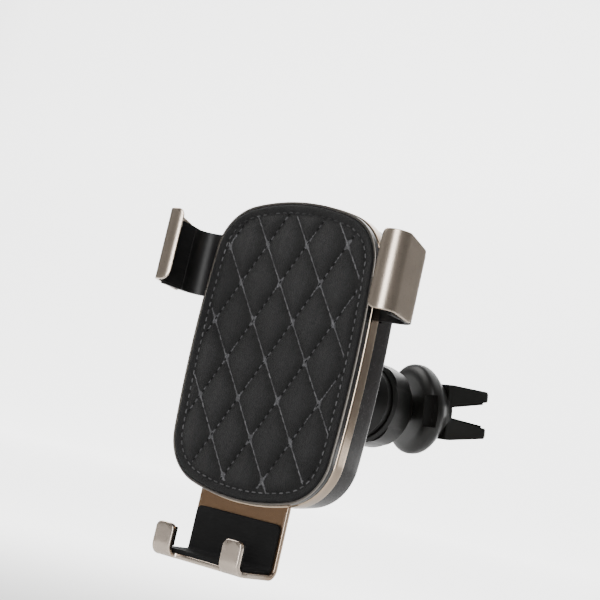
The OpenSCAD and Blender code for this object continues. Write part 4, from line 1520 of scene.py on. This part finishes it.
@dataclass
class Gearing:
    """Springs, pinions and axles inside the housing."""

    frame: dict[str, Any]
    wire: float = 0.7
    turns: float = 8.0

    def spring(self, node: str) -> Surface:
        """Returns a coil: a circle of the wire's radius carried up a helix, ends closed flat."""
        low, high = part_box(node)
        centre = (low + high) / 2 / MM
        r = (high.x - low.x) / 2 / MM - self.wire / 2
        z0, z1 = low.z / MM + self.wire / 2, high.z / MM - self.wire / 2
        t = np.linspace(0, 1, int(self.turns * 36) + 1)
        a = 2 * math.pi * self.turns * t
        flat_ends = np.clip((t * self.turns - 0.8) / (self.turns - 1.6), 0, 1)
        lift = z0 + (z1 - z0) * (flat_ends * 0.9 + t * 0.1)
        v = np.linspace(0, 2 * math.pi, 12, endpoint=False)
        reach = r + self.wire / 2 * np.cos(v)[None]
        points = np.stack(
            [
                centre.x + reach * np.cos(a)[:, None],
                centre.y + reach * np.sin(a)[:, None],
                lift[:, None] + self.wire / 2 * np.sin(v)[None],
            ],
            2,
        )
        ends = points.mean(1, keepdims=True)
        caps = np.repeat(ends[[0, -1]], len(v), 1)
        return Surface.grid(
            np.concatenate([caps[:1], points, caps[1:]]) * MM, close_columns=True
        )

    def build(self) -> None:
        """Makes the springs and finishes the gears."""
        for side in Side:
            node = f"{side.value}_spring"
            place_piece(
                self.spring(node).mesh(f"{side.value}_return_spring"), Look.SPRING, "holder",
                stands_for=[node],
            )
            soften_node(self.frame, f"{side.value}_pinion", Look.ACETAL, 0.06 * MM)
        soften_node(self.frame, "pinion_axles", Look.AXLE, 0.15 * MM)


# ------------------------------------------------------------------ ball joint and clip


@dataclass
class BallMount:
    """The stem with its slotted socket, collar nut, friction seat, ball and vent clip."""

    frame: dict[str, Any]

    def build(self) -> None:
        """Finishes every piece of the mount."""
        for node, look, width in (
            ("ball_socket", Look.JOINT, 0.35),
            ("socket_screws", Look.SCREW, 0.12),
            ("collar_nut", Look.JOINT, 0.4),
            ("ball_seat", Look.ACETAL, 0.1),
            ("ball_stud", Look.JOINT, 0.15),
            ("stud_screw", Look.SCREW, 0.12),
            ("clip_head", Look.JOINT, 0.3),
            ("prong_grips", Look.RUBBER, 0.08),
        ):
            soften_node(self.frame, node, look, width * MM)


# ------------------------------------------------------------------ studio


@dataclass(frozen=True)
class Viewpoint:
    """The main camera, by the point it looks at and the way it looks."""

    focus: tuple[float, float, float] = (4.64, 2.19, 14.32)
    azimuth: float = 36.02
    elevation: float = -7.02
    roll: float = 12.92
    distance: float = 356.9
    lens: float = 81.5

    def build(self) -> None:
        """Makes the camera: it stands off along `back`, turned about its view axis by roll."""
        a, e, r = (math.radians(v) for v in (self.azimuth, self.elevation, self.roll))
        back = Vector((math.sin(a) * math.cos(e), -math.cos(a) * math.cos(e), math.sin(e)))
        across = Vector((math.cos(a), math.sin(a), 0))
        up = back.cross(across)
        right = across * math.cos(r) + up * math.sin(r)
        top = up * math.cos(r) - across * math.sin(r)
        data = bpy.data.cameras.new("main_camera")
        data.lens = self.lens
        data.sensor_width = 36.0
        data.clip_start = 0.01
        camera = bpy.data.objects.new("main_camera", data)
        bpy.context.scene.collection.objects.link(camera)
        matrix = Matrix((right, top, back)).transposed().to_4x4()
        matrix.translation = (Vector(self.focus) + back * self.distance) * MM
        camera.matrix_world = matrix
        bpy.context.scene.camera = camera


@dataclass(frozen=True)
class Softbox:
    """A rectangular studio light."""

    name: str
    azimuth: float
    elevation: float
    distance: float
    size: tuple[float, float]
    power: float
    tint: Colour = (1.0, 1.0, 1.0)

    def build(self, target: Vector) -> None:
        """Makes the light, which faces the target."""
        a, e = math.radians(self.azimuth), math.radians(self.elevation)
        way = Vector((math.sin(a) * math.cos(e), -math.cos(a) * math.cos(e), math.sin(e)))
        data = bpy.data.lights.new(self.name, "AREA")
        data.shape = "RECTANGLE"
        data.size, data.size_y = self.size
        data.energy = self.power
        data.color = self.tint
        lamp = bpy.data.objects.new(self.name, data)
        bpy.context.scene.collection.objects.link(lamp)
        lamp.location = target + way * self.distance
        lamp.rotation_mode = "QUATERNION"
        lamp.rotation_quaternion = way.to_track_quat("Z", "Y")


@dataclass
class Studio:
    """Pale floor and backdrop in one sweep, a bright room and soft lights."""

    floor: float = -0.12
    room: float = 0.2
    boxes: tuple[Softbox, ...] = (
        Softbox("key_left", -75, 42, 0.9, (0.6, 0.6), 6.0, (1.0, 0.99, 0.97)),
        Softbox("strip_right", 22, 4, 0.7, (0.34, 0.9), 9.0),
        Softbox("top_back", 165, 60, 0.9, (0.8, 0.5), 4.0),
        Softbox("low_front", 5, -50, 0.9, (0.5, 0.3), 2.4),
    )

    def backdrop(self) -> Surface:
        """Returns the sweep: a wide flat floor that curves up far behind the object."""
        x = np.linspace(-6, 6, 9)
        t = np.linspace(0, math.pi / 2, 14)
        y = np.concatenate([np.linspace(-6, 3, 10), 3 + 1.5 * np.sin(t[1:]), [4.5]])
        z = np.concatenate([np.zeros(10), 1.5 * (1 - np.cos(t[1:])), [5.0]]) + self.floor
        gx, gy = np.meshgrid(x, y, indexing="ij")
        gz = np.broadcast_to(z, gx.shape)
        return Surface.grid(np.stack([gx, gy, gz], 2))

    def build(self) -> None:
        """Makes the backdrop, the room's light and the softboxes."""
        data = self.backdrop().mesh("studio_sweep", sharp=180)
        data.materials.append(Backdrop("studio_paper", (0.93, 0.93, 0.925)).material())
        sweep = bpy.data.objects.new("studio_sweep", data)
        bpy.context.scene.collection.objects.link(sweep)
        world = bpy.data.worlds.new("bright_room")
        world.use_nodes = True
        world.node_tree.nodes["Background"].inputs["Color"].default_value = (1, 1, 1, 1)
        world.node_tree.nodes["Background"].inputs["Strength"].default_value = self.room
        bpy.context.scene.world = world
        target = Vector((0.0, 0.01, 0.0))
        for box in self.boxes:
            box.build(target)


def main() -> None:
    """Builds the holder, the studio and the camera."""
    logging.basicConfig(level=logging.INFO, format="%(name)s %(message)s")
    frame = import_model()
    Viewpoint().build()
    LeatherPad(frame).build()
    Casing(frame).build()
    for side in Side:
        Clamp(frame, side).build()
    Foot(frame).build()
    Gearing(frame).build()
    BallMount(frame).build()
    Studio().build()
    bpy.context.view_layer.update()


if __name__ == "__main__":
    main()
